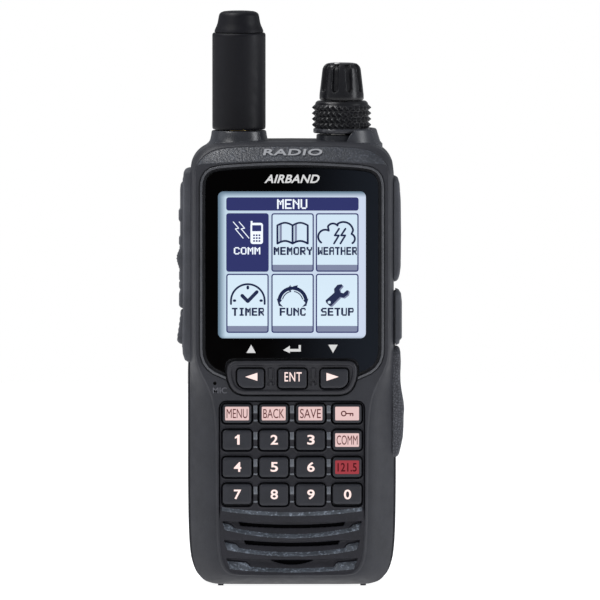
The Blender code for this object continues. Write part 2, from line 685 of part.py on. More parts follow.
# ---------------------------------------------------------------- knobs
control_body = block("control_body", (KNOB_X - 6.5, -2.0, 118.3), (KNOB_X + 6.5, 11.0, 126.5), METAL)
combine(control_body, "UNION", [rod("bushing", 4.3, 125.8, 135.4, (KNOB_X, TOP_Y), sides=24)])
bake(control_body)
combine(control_body, "DIFFERENCE", [rod("bushing_bore", 3.4, 126.7, 138.8, (KNOB_X, TOP_Y), sides=24)])
bake(control_body)
nut_ring = [(5.4 * math.cos(math.radians(60 * k)), 5.4 * math.sin(math.radians(60 * k))) for k in range(6)]
control_nut = prism("control_nut", nut_ring[::-1], 134.2, 135.7, "Z", METAL, at=(KNOB_X, TOP_Y, 0))
combine(control_nut, "DIFFERENCE", [rod("nut_bore", 4.6, 132.8, 137.8, (KNOB_X, TOP_Y), sides=24)])
bake(control_nut)
volume_shaft = turned("volume_shaft", [(0, 151.8), (1.5, 151.8), (1.5, 127.1), (0, 127.1)], METAL,
                      at=(KNOB_X, TOP_Y, 0), steps=20)
bake(volume_shaft)
squelch_shaft = turned("squelch_shaft", [(3.0, 142.2), (3.0, 127.1), (1.9, 127.1), (1.9, 142.2)], METAL,
                       at=(KNOB_X, TOP_Y, 0), steps=24, ring=True)
bake(squelch_shaft)
ridges = []
for k in range(4):
    top = 142.7 - 1.78 * k
    ridges += [(8.25, top), (8.9, top - 0.75), (8.25, top - 1.5)]
squelch_ring = turned(
    "squelch_ring",
    [(7.2, 143.9), (8.0, 143.4)] + ridges + [(8.45, 135.4), (8.45, 134.3), (6.3, 134.3), (6.3, 137.4), (3.3, 137.4), (3.3, 143.9)],
    KNOB, at=(KNOB_X, TOP_Y, 0), steps=36, ring=True,
)
bake(squelch_ring)
volume_knob = turned(
    "volume_knob",
    [(0, 155.2), (4.1, 155.2), (5.5, 154), (5.9, 152.8), (6.6, 145.4), (6.6, 144.2), (1.8, 144.2), (1.8, 152.2), (0, 152.2)],
    KNOB, at=(KNOB_X, TOP_Y, 0), steps=36,
)
FLUTES = 9
flutes = []
for k in range(FLUTES):
    a = math.tau * (k + 0.25) / FLUTES
    flute = rod(f"flute_{k}", 1.15, 0.0, 12.0, (0, 0), sides=10)
    flute.matrix_world = (
        Matrix.Translation(Vector((KNOB_X, TOP_Y, 0)) * MM)
        @ Matrix.Rotation(a, 4, "Z")
        @ Matrix.Translation(Vector((7.15, 0, 146.1)) * MM)
        @ Matrix.Rotation(-0.09, 4, "Y")
    )
    flutes.append(flute)
combine(volume_knob, "DIFFERENCE", flutes)
bake(volume_knob)

# ---------------------------------------------------------------- antenna
antenna_jack = turned(
    "antenna_jack",
    [(0, 139.8), (3.1, 139.8), (3.1, 128.7), (5.2, 128.7), (5.2, 127.4), (3.1, 127.4), (3.1, 125.3), (0, 125.3)],
    BRASS, at=(ANT_X, TOP_Y, 0), steps=24,
)
combine(antenna_jack, "DIFFERENCE", [rod("jack_socket", 0.9, 132.8, 143.8, (ANT_X, TOP_Y), sides=12)])
bake(antenna_jack)
antenna_coupling = turned(
    "antenna_coupling",
    [(5.1, 141.6), (5.1, 135.7), (3.4, 135.7), (3.4, 140.4), (1.2, 140.4), (1.2, 141.6)],
    BRASS, at=(ANT_X, TOP_Y, 0), steps=24, ring=True,
)
bake(antenna_coupling)
antenna_sleeve = turned(
    "antenna_sleeve",
    [(7.6, 164.2), (7.95, 163.8), (7.95, 135.6), (7.7, 135.4), (5.4, 135.4), (5.4, 164.2)],
    CASE, at=(ANT_X, TOP_Y, 0), steps=40, ring=True,
)
bake(antenna_sleeve)
antenna_cap = turned(
    "antenna_cap",
    [(0, 170.7), (4.9, 170.7), (5.9, 170), (6.6, 166.4), (7.3, 164.7), (7.3, 164.4), (5.1, 164.4), (5.1, 163), (0, 163)],
    CASE, at=(ANT_X, TOP_Y, 0), steps=40,
)
bake(antenna_cap)
coil = bpy.data.curves.new("antenna_coil", "CURVE")
coil.dimensions = "3D"
coil.bevel_depth = 0.5 * MM
coil.bevel_resolution = 1
coil.use_fill_caps = True
TURNS, STEPS = 6, 11
turn_points = [
    (3.9 * math.cos(math.tau * i / STEPS), 3.9 * math.sin(math.tau * i / STEPS), 143 + 3.0 * i / STEPS)
    for i in range(TURNS * STEPS + 1)
]
spline = coil.splines.new("POLY")
spline.points.add(len(turn_points) - 1)
for point, (x, y, z) in zip(spline.points, turn_points):
    point.co = (x * MM, y * MM, z * MM, 1)
wound = bpy.data.objects.new("wound", coil)
CUTTERS.objects.link(wound)
bpy.context.view_layer.update()
bm = bmesh.new()
drawn = bpy.data.meshes.new_from_object(wound.evaluated_get(bpy.context.evaluated_depsgraph_get()))
bpy.data.objects.remove(wound, do_unlink=True)
bm.from_mesh(drawn)
bmesh.ops.remove_doubles(bm, verts=bm.verts, dist=1e-6)
antenna_coil = from_bmesh("antenna_coil", bm, BRASS, (ANT_X, TOP_Y, 0))

# ---------------------------------------------------------------- battery
battery_lid = prism("battery_lid", inset(PACK, 0.0), BAY_Y + 0.3, 8.2, finish=CASE)
battery_case = loft(
    "battery_case",
    [(8.5, PACK), (12.0, PACK), (14.6, inset(PACK, 0.6)), (16.8, inset(PACK, 1.7)), (BACK_Y, inset(PACK, 3.8))],
    CASE,
)
combine(battery_case, "UNION", [
    rod(f"rear_foot_{i}", 0.85, 0.0, 2.0, (x, 11.0), sides=12) for i, x in enumerate((-21.2, 21.2))])
bake(battery_case)
combine(battery_case, "DIFFERENCE", [
    prism("battery_cavity", inset(PACK, 2.6), 7.0, 15.4),
    block("latch_pocket", (-12.4, 16.6, 7.6), (12.4, 21.0, 20.4), radius=1.5),
    block("latch_way", (-3.3, 14.0, 9.0), (3.3, 18.0, 17.2)),
])
bake(battery_case)
battery_cell_lower = block("battery_cell_lower", (-17.0, 8.7, 22.5), (17.0, 15.0, 61.5), CELL, radius=2.5, along="Z")
battery_cell_upper = block("battery_cell_upper", (-17.0, 8.7, 62.1), (17.0, 15.0, 101.1), CELL, radius=2.5, along="Z")
battery_latch = block("battery_latch", (-12.0, 16.9, 11.2), (12.0, 18.6, 20.0), KNOB, radius=1.2)
combine(battery_latch, "UNION", [
    block(f"latch_ridge_{i}", (-9.0, 18.2, 12.7 + 1.7 * i), (9.0, 19.2, 13.4 + 1.7 * i)) for i in range(4)
] + [block("latch_tongue", (-3.0, 14.4, 12.6), (3.0, 17.5, 16.8))])
bake(battery_latch)
pivot(battery_latch, (0.0, 17.7, 15.6))
battery_contacts = block("battery_contacts", (-7.8, 2.6, 93.2), (7.8, 6.0, 98.8), SEAL)
combine(battery_contacts, "UNION", [
    block(f"contact_blade_{i}", (x - 0.8, 5.0, 94.4), (x + 0.8, 6.35, 97.6)) for i, x in enumerate((-5.0, 0.0, 5.0))])
bake(battery_contacts)

for piece in PARTS.objects:
    if piece.type == "MESH":
        piece.data.shade_smooth()
        piece.data.set_sharp_from_angle(angle=math.radians(30))
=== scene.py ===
"""Looks of the handheld aviation radio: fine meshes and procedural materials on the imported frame.

Lengths are millimetres in the row frame (+Z up, the display and keypad face -Y) until they
become vertices, which are metres.
"""

import math

import bmesh
import bpy
import numpy as np
from mathutils import Matrix, Vector


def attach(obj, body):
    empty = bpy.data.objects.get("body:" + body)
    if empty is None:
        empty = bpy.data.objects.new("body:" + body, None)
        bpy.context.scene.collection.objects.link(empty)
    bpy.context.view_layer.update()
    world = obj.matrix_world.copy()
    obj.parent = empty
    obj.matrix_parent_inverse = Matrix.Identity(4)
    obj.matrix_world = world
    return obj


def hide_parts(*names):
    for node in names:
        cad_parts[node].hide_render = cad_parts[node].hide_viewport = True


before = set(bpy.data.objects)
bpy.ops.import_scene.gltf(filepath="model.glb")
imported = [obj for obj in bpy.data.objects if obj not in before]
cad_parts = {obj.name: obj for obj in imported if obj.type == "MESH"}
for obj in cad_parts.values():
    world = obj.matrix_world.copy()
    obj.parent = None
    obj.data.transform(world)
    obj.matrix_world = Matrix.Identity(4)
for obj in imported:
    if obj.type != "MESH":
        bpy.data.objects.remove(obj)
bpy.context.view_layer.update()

MM = 0.001
BODY = "radio_body"

# ---------------------------------------------------------------- dimensions shared with the CAD (mm)
PART_Y, SEAM, FACE_Y = -1.0, 0.15, -17.5
BAY_Y, BAY_Z, BACK_Y = 6.2, 105.85, 18.6
KEY_X = (-16.3, -5.4, 5.5, 16.4)
KEY_Z = (51.9, 44.0, 35.9, 27.7)
KEY_H = (5.6, 5.9, 5.9, 6.4)
KEY_W = 8.5
KEY_FRONT_Y = -18.2
KEY_NAMES = (
    ("key_menu", "key_back", "key_save", "key_lock"),
    ("key_1", "key_2", "key_3", "key_comm"),
    ("key_4", "key_5", "key_6", "key_emergency"),
    ("key_7", "key_8", "key_9", "key_0"),
)
NAV_KEYS = (("key_left", -12.3, 7.9), ("key_enter", 0.15, 8.4), ("key_right", 12.6, 8.1))
NAV_Z, NAV_H, NAV_FRONT_Y = 62.4, 5.7, -19.3
NAV_CORNERS = {
    "key_left": (0.9, 0.9, 2.6, 0.9),
    "key_enter": (0.9, 0.9, 0.9, 0.9),
    "key_right": (0.9, 2.6, 0.9, 0.9),
}
SCREEN_Z, SCREEN_W = 96.15, 43.9
ANT_X, KNOB_X, TOP_Y = -15.8, 14.8, 4.5

# Right half of the front view: casing (x, z), inner edge of its rim (x, z, y), plateau edge (x, z).
STATIONS = [
    ((0, 132.3), (0, 131.3, -12.4), (0, 127.1)),
    ((8, 132.25), (8, 131.25, -12.4), (8, 127.0)),
    ((16, 132.05), (16, 131.0, -12.4), (16, 126.7)),
    ((22, 131.6), (21.6, 130.4, -12.5), (22, 126.4)),
    ((25, 130.8), (24.1, 129.5, -12.8), (25.4, 126.2)),
    ((27.4, 129.4), (26.1, 128.3, -13.6), (27.4, 126.0)),
    ((29.1, 127.4), (27.5, 126.9, -14.9), (28.3, 125.4)),
    ((30.0, 125.2), (28.45, 125.2, -16.4), (28.55, 124.2)),
    ((30.3, 122.5), (28.8, 122.6, -16.95), (28.6, 122.5)),
    ((30.3, 114), (28.85, 114, -17.0), (28.6, 114)),
    ((30.3, 100), (28.85, 100, -17.0), (28.6, 100)),
    ((30.3, 85), (28.85, 85, -17.0), (28.6, 85)),
    ((30.3, 72), (28.85, 72, -17.0), (28.6, 72)),
    ((30.3, 68), (28.6, 68.2, -17.0), (28.3, 68.3)),
    ((30.3, 64), (27.4, 64.2, -17.0), (27.0, 64.3)),
    ((30.3, 60), (25.5, 60.3, -17.0), (25.0, 60.4)),
    ((30.3, 56), (24.0, 56.3, -17.0), (23.5, 56.4)),
    ((30.3, 51), (23.2, 51.2, -17.0), (22.7, 51.3)),
    ((30.3, 45), (22.8, 45, -17.0), (22.3, 45)),
    ((30.3, 34), (22.7, 34, -17.0), (22.2, 34)),
    ((30.2, 22), (22.6, 22, -17.0), (22.1, 22)),
    ((29.95, 14), (22.3, 13, -17.0), (21.8, 13)),
    ((29.5, 9), (21.7, 8.2, -17.0), (21.2, 8.4)),
    ((28.5, 5.1), (20.4, 5.3, -17.0), (20.0, 5.6)),
    ((27.2, 2.75), (18.5, 3.9, -17.0), (18.2, 4.2)),
    ((25.2, 1.3), (15.6, 3.5, -17.0), (15.5, 3.8)),
    ((22.0, 0.6), (12, 3.35, -17.0), (12, 3.7)),
    ((11, 0.5), (6, 3.3, -17.0), (6, 3.6)),
    ((0, 0.5), (0, 3.3, -17.0), (0, 3.6)),
]
LENS = [
    (0, 125.0), (4, 124.97), (8, 124.85), (12, 124.67), (16, 124.45), (19.5, 124.2), (21.9, 123.9),
    (23.4, 123.5), (24.5, 122.8), (25.2, 121.8), (25.6, 120.4), (25.7, 118.8), (25.7, 71.2),
    (25.55, 69.4), (25.0, 67.7), (24.0, 66.3), (22.6, 65.2), (19.9, 64.0), (19.9, 66.2),
    (19.5, 67.2), (18.6, 68.0), (17.2, 68.3), (0, 68.4),
]
POD = [
    (0, 67.7), (16.6, 67.6), (17.8, 67.4), (18.7, 66.8), (19.2, 65.9), (19.35, 64.8),
    (19.3, 63.4), (18.9, 61.6), (18.2, 59.9), (17.3, 58.7), (16.2, 58.0), (14.8, 57.6),
    (13.6, 57.5), (0, 57.5),
]
PANEL = [
    (0, 55.8), (19.6, 55.8), (20.7, 55.5), (21.5, 54.7), (21.8, 53.4), (21.8, 45), (21.75, 22),
    (21.4, 13), (20.8, 8.4), (19.7, 5.9), (18.0, 4.4), (15.6, 3.95), (12, 3.9), (0, 3.85),
]


# ---------------------------------------------------------------- outlines
def pchip(values, at, new):
    """A smooth curve through values at rising positions, with no overshoot."""
    y, x = np.asarray(values, float), np.asarray(at, float)
    h, d = np.diff(x), np.diff(y) / np.diff(x)
    m = np.zeros(len(y))
    for i in range(1, len(y) - 1):
        if d[i - 1] * d[i] > 0:
            a, b = 2 * h[i] + h[i - 1], h[i] + 2 * h[i - 1]
            m[i] = (a + b) / (a / d[i - 1] + b / d[i])
    m[0], m[-1] = d[0], d[-1]
    k = np.clip(np.searchsorted(x, new, side="right") - 1, 0, len(h) - 1)
    t = (new - x[k]) / h[k]
    return (
        (2 * t**3 - 3 * t**2 + 1) * y[k]
        + (t**3 - 2 * t**2 + t) * h[k] * m[k]
        + (-2 * t**3 + 3 * t**2) * y[k + 1]
        + (t**3 - t**2) * h[k] * m[k + 1]
    )


def refined(rows, per=5):
    """Rows of numbers with more rows between them, each column a smooth curve."""
    rows = np.array(rows, float)
    step = np.hypot(np.diff(rows[:, 0]), np.diff(rows[:, 1]))
    at = np.concatenate([[0], np.cumsum(np.maximum(step, 1e-3))])
    new = np.concatenate(
        [np.linspace(a, b, per, endpoint=False) for a, b in zip(at, at[1:])] + [[at[-1]]]
    )
    return np.stack([pchip(rows[:, c], at, new) for c in range(rows.shape[1])], axis=1)


def whole(half):
    return [tuple(p) for p in half] + [
        (-p[0], *p[1:]) for p in reversed(list(half)) if abs(p[0]) > 1e-9
    ]


def inset(points, d):
    """A clockwise outline moved inwards by d, or outwards where d is negative."""
    p = np.array([q[:2] for q in points], float)
    u = p - np.roll(p, 1, 0)
    u /= np.linalg.norm(u, axis=1)[:, None]
    v = np.roll(u, -1, 0)
    n1, n2 = np.stack([u[:, 1], -u[:, 0]], 1), np.stack([v[:, 1], -v[:, 0]], 1)
    m = n1 + n2
    m /= np.linalg.norm(m, axis=1)[:, None]
    q = p + m * (d / np.maximum(0.45, (m * n1).sum(1)))[:, None]
    return [tuple(r) for r in q]


def below(points, z):
    made = []
    n = len(points)
    for i in range(n):
        p, q = points[i], points[(i + 1) % n]
        if p[1] <= z:
            made.append(tuple(p[:2]))
        if (p[1] <= z) != (q[1] <= z):
            t = (z - p[1]) / (q[1] - p[1])
            made.append((p[0] + t * (q[0] - p[0]), z))
    return made


def above(points, z):
    return [(x, -w) for x, w in reversed(below([(x, -w) for x, w in reversed(points)], -z))]


def rounded(w, h, r, seg=7, cx=0.0, cy=0.0):
    """A rounded rectangle, clockwise. r is one radius, or four from the upper right, clockwise."""
    radii = [r] * 4 if isinstance(r, (int, float)) else r
    made = []
    for k, (sx, sy) in enumerate(((1, 1), (1, -1), (-1, -1), (-1, 1))):
        q = radii[k]
        mx, my = cx + sx * (w / 2 - q), cy + sy * (h / 2 - q)
        start = math.radians(90 - 90 * k)
        for i in range(seg + 1):
            a = start - math.radians(90) * i / seg
            made.append((mx + q * math.cos(a), my + q * math.sin(a)))
    return made


def smooth(a, b, x):
    t = np.clip((x - a) / (b - a), 0, 1)
    return t * t * (3 - 2 * t)


def box_sd(x, z, cx, cz, w, h, r):
    """Signed distance to a rounded rectangle, negative inside."""
    qx, qz = np.abs(x - cx) - (w / 2 - r), np.abs(z - cz) - (h / 2 - r)
    return np.minimum(np.maximum(qx, qz), 0) + np.hypot(np.maximum(qx, 0), np.maximum(qz, 0)) - r


def edge_distance(x, z, outline):
    """Distance from each point to the outline's nearest side."""
    best = np.full(x.shape, 1e9)
    p = [q[:2] for q in outline]
    for a, b in zip(p, p[1:] + p[:1]):
        a, b = np.array(a), np.array(b)
        d = b - a
        t = np.clip(((x - a[0]) * d[0] + (z - a[1]) * d[1]) / max(1e-12, d @ d), 0, 1)
        best = np.minimum(best, np.hypot(x - a[0] - t * d[0], z - a[1] - t * d[1]))
    return best


# ---------------------------------------------------------------- node helpers
class Nodes:
    """Short names for a material's shader nodes."""

    def __init__(self, name):
        self.material = bpy.data.materials.new(name)
        self.material.use_nodes = True
        self.tree = self.material.node_tree
        self.shader = self.tree.nodes["Principled BSDF"]
        self.coords = self.tree.nodes.new("ShaderNodeTexCoord").outputs["Object"]

    def add(self, kind, **values):
        node = self.tree.nodes.new(kind)
        for key, value in values.items():
            setattr(node, key, value)
        return node

    def link(self, source, target):
        if isinstance(source, (int, float)):
            target.default_value = source
        elif isinstance(source, tuple):
            target.default_value = (*source, 1.0) if len(source) == 3 else source
        else:
            self.tree.links.new(source, target)

    def set(self, **values):
        for key, value in values.items():
            self.link(value, self.shader.inputs[key.replace("_", " ")])
        return self

    def noise(self, scale, detail=2.0, roughness=0.5, stretch=None, distortion=0.0):
        node = self.add("ShaderNodeTexNoise")
        source = self.coords
        if stretch:
            mapping = self.add("ShaderNodeMapping")
            mapping.inputs["Scale"].default_value = stretch
            self.link(source, mapping.inputs["Vector"])
            source = mapping.outputs["Vector"]
        self.link(source, node.inputs["Vector"])
        node.inputs["Scale"].default_value = scale
        node.inputs["Detail"].default_value = detail
        node.inputs["Roughness"].default_value = roughness
        node.inputs["Distortion"].default_value = distortion
        return node.outputs["Fac"]

    def cells(self, scale, feature="F1", randomness=1.0):
        node = self.add("ShaderNodeTexVoronoi", feature=feature)
        self.link(self.coords, node.inputs["Vector"])
        node.inputs["Scale"].default_value = scale
        node.inputs["Randomness"].default_value = randomness
        return node.outputs["Distance"]

    def math(self, operation, a, b=0.0, clamp=False):
        node = self.add("ShaderNodeMath", operation=operation, use_clamp=clamp)
        self.link(a, node.inputs[0])
        self.link(b, node.inputs[1])
        return node.outputs[0]

    def span(self, value, low, high, out_low=0.0, out_high=1.0, soft=False):
        node = self.add("ShaderNodeMapRange")
        if soft:
            node.interpolation_type = "SMOOTHSTEP"
        self.link(value, node.inputs["Value"])
        for key, number in zip(("From Min", "From Max", "To Min", "To Max"), (low, high, out_low, out_high)):
            node.inputs[key].default_value = number
        return node.outputs["Result"]

    def mix(self, factor, a, b):
        node = self.add("ShaderNodeMix", data_type="RGBA")
        self.link(factor, node.inputs[0])
        self.link(a, node.inputs[6])
        self.link(b, node.inputs[7])
        return node.outputs[2]

    def axis(self, index):
        node = self.add("ShaderNodeSeparateXYZ")
        self.link(self.coords, node.inputs[0])
        return node.outputs[index]

    def edges(self, radius):
        """0 on flat surfaces and 1 on rounded edges, and the rounded normal itself."""
        bevel = self.add("ShaderNodeBevel", samples=4)
        bevel.inputs["Radius"].default_value = radius * MM
        flat = self.add("ShaderNodeNewGeometry").outputs["Normal"]
        dot = self.add("ShaderNodeVectorMath", operation="DOT_PRODUCT")
        self.link(bevel.outputs[0], dot.inputs[0])
        self.link(flat, dot.inputs[1])
        return self.span(dot.outputs["Value"], 0.995, 0.86), bevel.outputs[0]

    def gloss(self, level):
        self.shader.inputs["Specular IOR Level"].default_value = level
        return self

    def bump(self, height, strength, depth, normal=None):
        node = self.add("ShaderNodeBump")
        node.inputs["Strength"].default_value = strength
        node.inputs["Distance"].default_value = depth * MM
        self.link(height, node.inputs["Height"])
        if normal is not None:
            self.link(normal, node.inputs["Normal"])
        return node.outputs["Normal"]


def moulded(name, colour, rough=0.55, grain=3200.0, strength=0.35, depth=0.02, wear=0.35, radius=0.18, lift=0.12, spec=0.3, speck=0.25, bright=1.9):
    """Moulded plastic or rubber: a fine spark-eroded grain, faint unevenness, and paler worn edges."""
    n = Nodes(name)
    edge, normal = n.edges(radius)
    fine = n.noise(grain, 3.0, 0.6)
    broad = n.noise(120.0, 3.0, 0.55)
    darker = tuple(c * (1 - lift) for c in colour)
    lighter = tuple(c * (1 + lift) for c in colour)
    base = n.mix(n.span(broad, 0.35, 0.65), darker, lighter)
    base = n.mix(n.span(fine, 0.52, 0.72, 0.0, speck), base, tuple(min(1.0, c * bright) for c in colour))
    worn = n.math("MULTIPLY", edge, n.span(n.noise(900.0, 2.0), 0.35, 0.6, 0.3 * wear, wear))
    base = n.mix(worn, base, tuple(min(1.0, c * 2.2 + 0.01) for c in colour))
    n.set(Base_Color=base, Metallic=0.0)
    n.set(Roughness=n.span(n.noise(400.0, 3.0), 0.3, 0.7, rough - 0.06, rough + 0.06))
    n.gloss(spec)
    n.set(Normal=n.bump(fine, strength, depth, normal))
    return n.material


def turned_metal(name, colour, rough=0.25):
    n = Nodes(name)
    lines = n.noise(900.0, 2.0, 0.5, stretch=(0.4, 0.4, 14.0))
    n.set(Base_Color=n.mix(n.span(n.noise(300.0), 0.3, 0.7), tuple(c * 0.85 for c in colour), colour), Metallic=1.0)
    n.set(Roughness=n.span(lines, 0.3, 0.7, rough - 0.08, rough + 0.12))
    n.set(Normal=n.bump(lines, 0.15, 0.01))
    return n.material


def printed_or_backlit_glow(name, colour, strength, rough=0.4, coat=0.0):
    """A colour that glows in patches: a real backlight on the display, and a painted glow on printed marks, which are
    no lamps.
    """
    n = Nodes(name)
    patch = n.span(n.noise(260.0, 1.0), 0.3, 0.7, 0.9, 1.0)
    shade = n.mix(patch, tuple(c * 0.82 for c in colour), colour)
    n.set(Base_Color=tuple(c * 0.12 for c in colour), Roughness=rough, Emission_Color=shade, Emission_Strength=strength)
    n.shader.inputs["Specular IOR Level"].default_value = 0.1
    return n.material


# ---------------------------------------------------------------- materials
CASE = moulded("case_plastic", (0.025, 0.026, 0.032), rough=0.5, grain=2600.0, strength=0.3, depth=0.025)
TOP = moulded("case_top_grain", (0.029, 0.032, 0.040), rough=0.36, grain=1350.0, strength=1.0, depth=0.16, wear=0.6, spec=0.5, speck=0.9, bright=3.0)
PANEL_M = moulded("panel_plastic", (0.013, 0.013, 0.018), rough=0.5, grain=2100.0, strength=0.75, depth=0.05, wear=0.5, speck=0.5)
# painted light: the ledges are the panel's plastic coloured lighter, standing in for the top light on their up-facing
# slopes
LEDGE_PAINTED_LIGHT = moulded("louvre_ledge_painted_light", (0.066, 0.076, 0.092), rough=0.36, grain=1250.0, strength=1.0, depth=0.16, wear=0.6, spec=0.5, speck=1.0, lift=0.3, bright=4.2)
# painted highlight: the ribs between the keys are the panel's plastic coloured lighter where light catches them
RIB_PAINTED_HIGHLIGHT = moulded("key_rib_painted_highlight", (0.13, 0.14, 0.16), rough=0.35, grain=2300.0, strength=0.5, depth=0.03, wear=0.6, spec=0.5)
COLLAR_M = moulded("collar_plastic", (0.030, 0.032, 0.040), rough=0.3, grain=2400.0, strength=0.45, depth=0.03, wear=0.9, spec=0.6)
# painted highlight: the smooth skirt under the squelch ring is coloured lighter than the knob, standing in for the
# highlight on it
SKIRT_PAINTED_HIGHLIGHT = moulded("knob_skirt", (0.045, 0.046, 0.054), rough=0.22, grain=3000.0, strength=0.1, depth=0.01, wear=0.9, spec=0.6)
# painted highlight: the lip round the window is coloured lighter than the case, standing in for the bright line of
# light on its edge
LIP_PAINTED_HIGHLIGHT = moulded("lens_lip", (0.060, 0.062, 0.070), rough=0.3, grain=2400.0, strength=0.2, depth=0.02, wear=0.9, spec=0.5)
# painted light: the moulded word is the case's plastic coloured lighter so that its relief shows
FAINT_PAINTED_LIGHT = moulded("moulded_word", (0.10, 0.10, 0.115), rough=0.4, grain=2600.0, strength=0.2, depth=0.02)
CHASSIS = moulded("chassis_paint", (0.025, 0.026, 0.032), rough=0.48, grain=2800.0, strength=0.35, depth=0.02)
PACK = moulded("pack_plastic", (0.027, 0.028, 0.034), rough=0.5, grain=2400.0, strength=0.4, depth=0.03)
RUBBER = moulded("side_rubber", (0.064, 0.067, 0.078), rough=0.62, grain=2200.0, strength=0.35, depth=0.025)
ANTENNA = moulded("antenna_rubber", (0.0045, 0.0045, 0.007), rough=0.5, spec=0.2, grain=2300.0, strength=0.35, depth=0.03)
KEY = moulded("key_rubber", (0.020, 0.021, 0.027), rough=0.42, grain=3500.0, strength=0.15, depth=0.01, wear=0.5, radius=0.12)
KNOB = moulded("knob_plastic", (0.008, 0.008, 0.010), rough=0.3, grain=3000.0, strength=0.12, depth=0.01, wear=0.8, radius=0.1)
POD_M = moulded("pod_plastic", (0.024, 0.024, 0.029), rough=0.42, grain=2800.0, strength=0.3, depth=0.02, wear=0.5)
SEAL = moulded("seal_black", (0.004, 0.004, 0.005), rough=0.7)
# painted shade: the louvre slots are coloured almost black, standing in for the shadow deep inside them
SLOT_PAINTED_SHADE = moulded("slot_painted_shade_black", (0.0035, 0.0035, 0.0045), rough=0.85, strength=0.1, depth=0.01, wear=0.0, spec=0.03)
SOCKET = moulded("socket_black", (0.01, 0.01, 0.011), rough=0.4)
STEEL = turned_metal("plated_steel", (0.62, 0.60, 0.56))
BRASS = turned_metal("gold_brass", (0.85, 0.62, 0.28))
# painted glow: the key plates, key legends and labels, the prints on the window and knob, and the grey foil word on the
# top panel glow though they are only printed; the glow of the foil word stands in for its shine
PINK = printed_or_backlit_glow("pink_print_glow", (0.85, 0.60, 0.585), 0.84)
RED = printed_or_backlit_glow("red_print_glow", (0.37, 0.045, 0.058), 0.85)
DARK_RED = printed_or_backlit_glow("label_dark", (0.14, 0.018, 0.020), 0.6)
RED_DARK = printed_or_backlit_glow("label_maroon", (0.09, 0.004, 0.008), 0.6)
LEGEND = printed_or_backlit_glow("legend_pink", (1.0, 0.78, 0.74), 1.0)
WHITE = printed_or_backlit_glow("print_white", (0.80, 0.80, 0.80), 0.75)
FOIL = printed_or_backlit_glow("print_grey", (0.42, 0.43, 0.46), 0.7)
NAVY = printed_or_backlit_glow("lcd_navy", (0.027, 0.033, 0.140), 0.9)
INK = printed_or_backlit_glow("lcd_ink", (0.016, 0.024, 0.075), 0.9)
LCD_GREY = printed_or_backlit_glow("lcd_grey", (0.22, 0.25, 0.37), 0.9)
LCD_WHITE = printed_or_backlit_glow("lcd_white", (0.86, 0.92, 1.0), 1.0)


def leather():
    n = Nodes("grip_leather")
    edge, normal = n.edges(0.3)
    pebble = n.cells(1300.0, "DISTANCE_TO_EDGE")
    height = n.span(pebble, 0.0, 0.25)
    colour = n.mix(height, (0.030, 0.031, 0.038), (0.082, 0.085, 0.098))
    n.set(Base_Color=n.mix(n.math("MULTIPLY", edge, 0.4), colour, (0.09, 0.09, 0.1)), Roughness=0.6)
    n.set(Normal=n.bump(height, 0.8, 0.08, normal))
    n.gloss(0.3)
    return n.material


def gloss_black():
    """The window: polished and almost black, with a painted reflection, a cold bluish grey in its base colour, rising
    to its right.
    """
    n = Nodes("window_gloss")
    x, z = n.axis(0), n.axis(2)
    slant = n.math("ADD", x, n.math("MULTIPLY", z, -0.10))
    # painted reflection: the base colour turns bluish grey along a slanted band towards the right
    painted_reflection = n.span(slant, -0.016, 0.018, soft=True)
    base = n.mix(painted_reflection, (0.0004, 0.0002, 0.0002), (0.0110, 0.0135, 0.0185))
    smudge = n.noise(160.0, 4.0, 0.6)
    n.set(Base_Color=base, Roughness=n.span(smudge, 0.35, 0.7, 0.06, 0.13))
    n.shader.inputs["Specular IOR Level"].default_value = 0.04
    return n.material


def display_glow():
    """The lit background of the display, with painted shade from the window's frame where it fades towards its upper
    left edges, and darker along its bottom edge.
    """
    n = Nodes("lcd_glow")
    x, z = n.axis(0), n.axis(2)
    # painted shade: the glow fades along the left and top edges, as if shaded by the frame
    left = n.span(x, -21.95 * MM, -19.7 * MM, -0.25, 1.0)
    top = n.span(z, (SCREEN_Z + 21.9) * MM, (SCREEN_Z + 20.1) * MM, -0.25, 1.0)
    # darker along the bottom edge
    low = n.span(z, (SCREEN_Z - 22.0) * MM, (SCREEN_Z - 21.0) * MM, 0.55, 1.0, soft=True)
    lit = n.math("MULTIPLY", n.math("MULTIPLY", n.math("MAXIMUM", left, 0.0), n.math("MAXIMUM", top, 0.0)), low)
    across = n.mix(n.span(x, -0.02, 0.02), (0.56, 0.70, 0.82), (0.65, 0.72, 0.88))
    colour = n.mix(lit, (0.115, 0.185, 0.255), across)
    n.set(Base_Color=(0.06, 0.08, 0.10), Roughness=0.3, Emission_Color=colour, Emission_Strength=0.86)
    n.shader.inputs["Specular IOR Level"].default_value = 0.2
    return n.material


def lcd_cell():
    n = Nodes("lcd_cell")
    across = n.mix(n.span(n.axis(2), 0.075, 0.112), (0.74, 0.88, 0.98), (0.66, 0.80, 0.92))
    n.set(Base_Color=(0.06, 0.08, 0.10), Roughness=0.3, Emission_Color=across, Emission_Strength=0.88)
    n.shader.inputs["Specular IOR Level"].default_value = 0.2
    return n.material


def board():
    n = Nodes("circuit_board")
    tracks = n.cells(420.0, "DISTANCE_TO_EDGE", 0.25)
    n.set(Base_Color=n.mix(n.span(tracks, 0.02, 0.06), (0.05, 0.30, 0.13), (0.012, 0.12, 0.05)), Roughness=0.35)
    n.set(Normal=n.bump(tracks, 0.3, 0.03))
    return n.material


def sleeve():
    n = Nodes("cell_sleeve")
    n.set(Base_Color=n.mix(n.span(n.noise(200.0), 0.3, 0.7), (0.03, 0.10, 0.30), (0.05, 0.15, 0.40)), Roughness=0.3)
    n.set(Normal=n.bump(n.noise(500.0, 3.0), 0.2, 0.03))
    return n.material


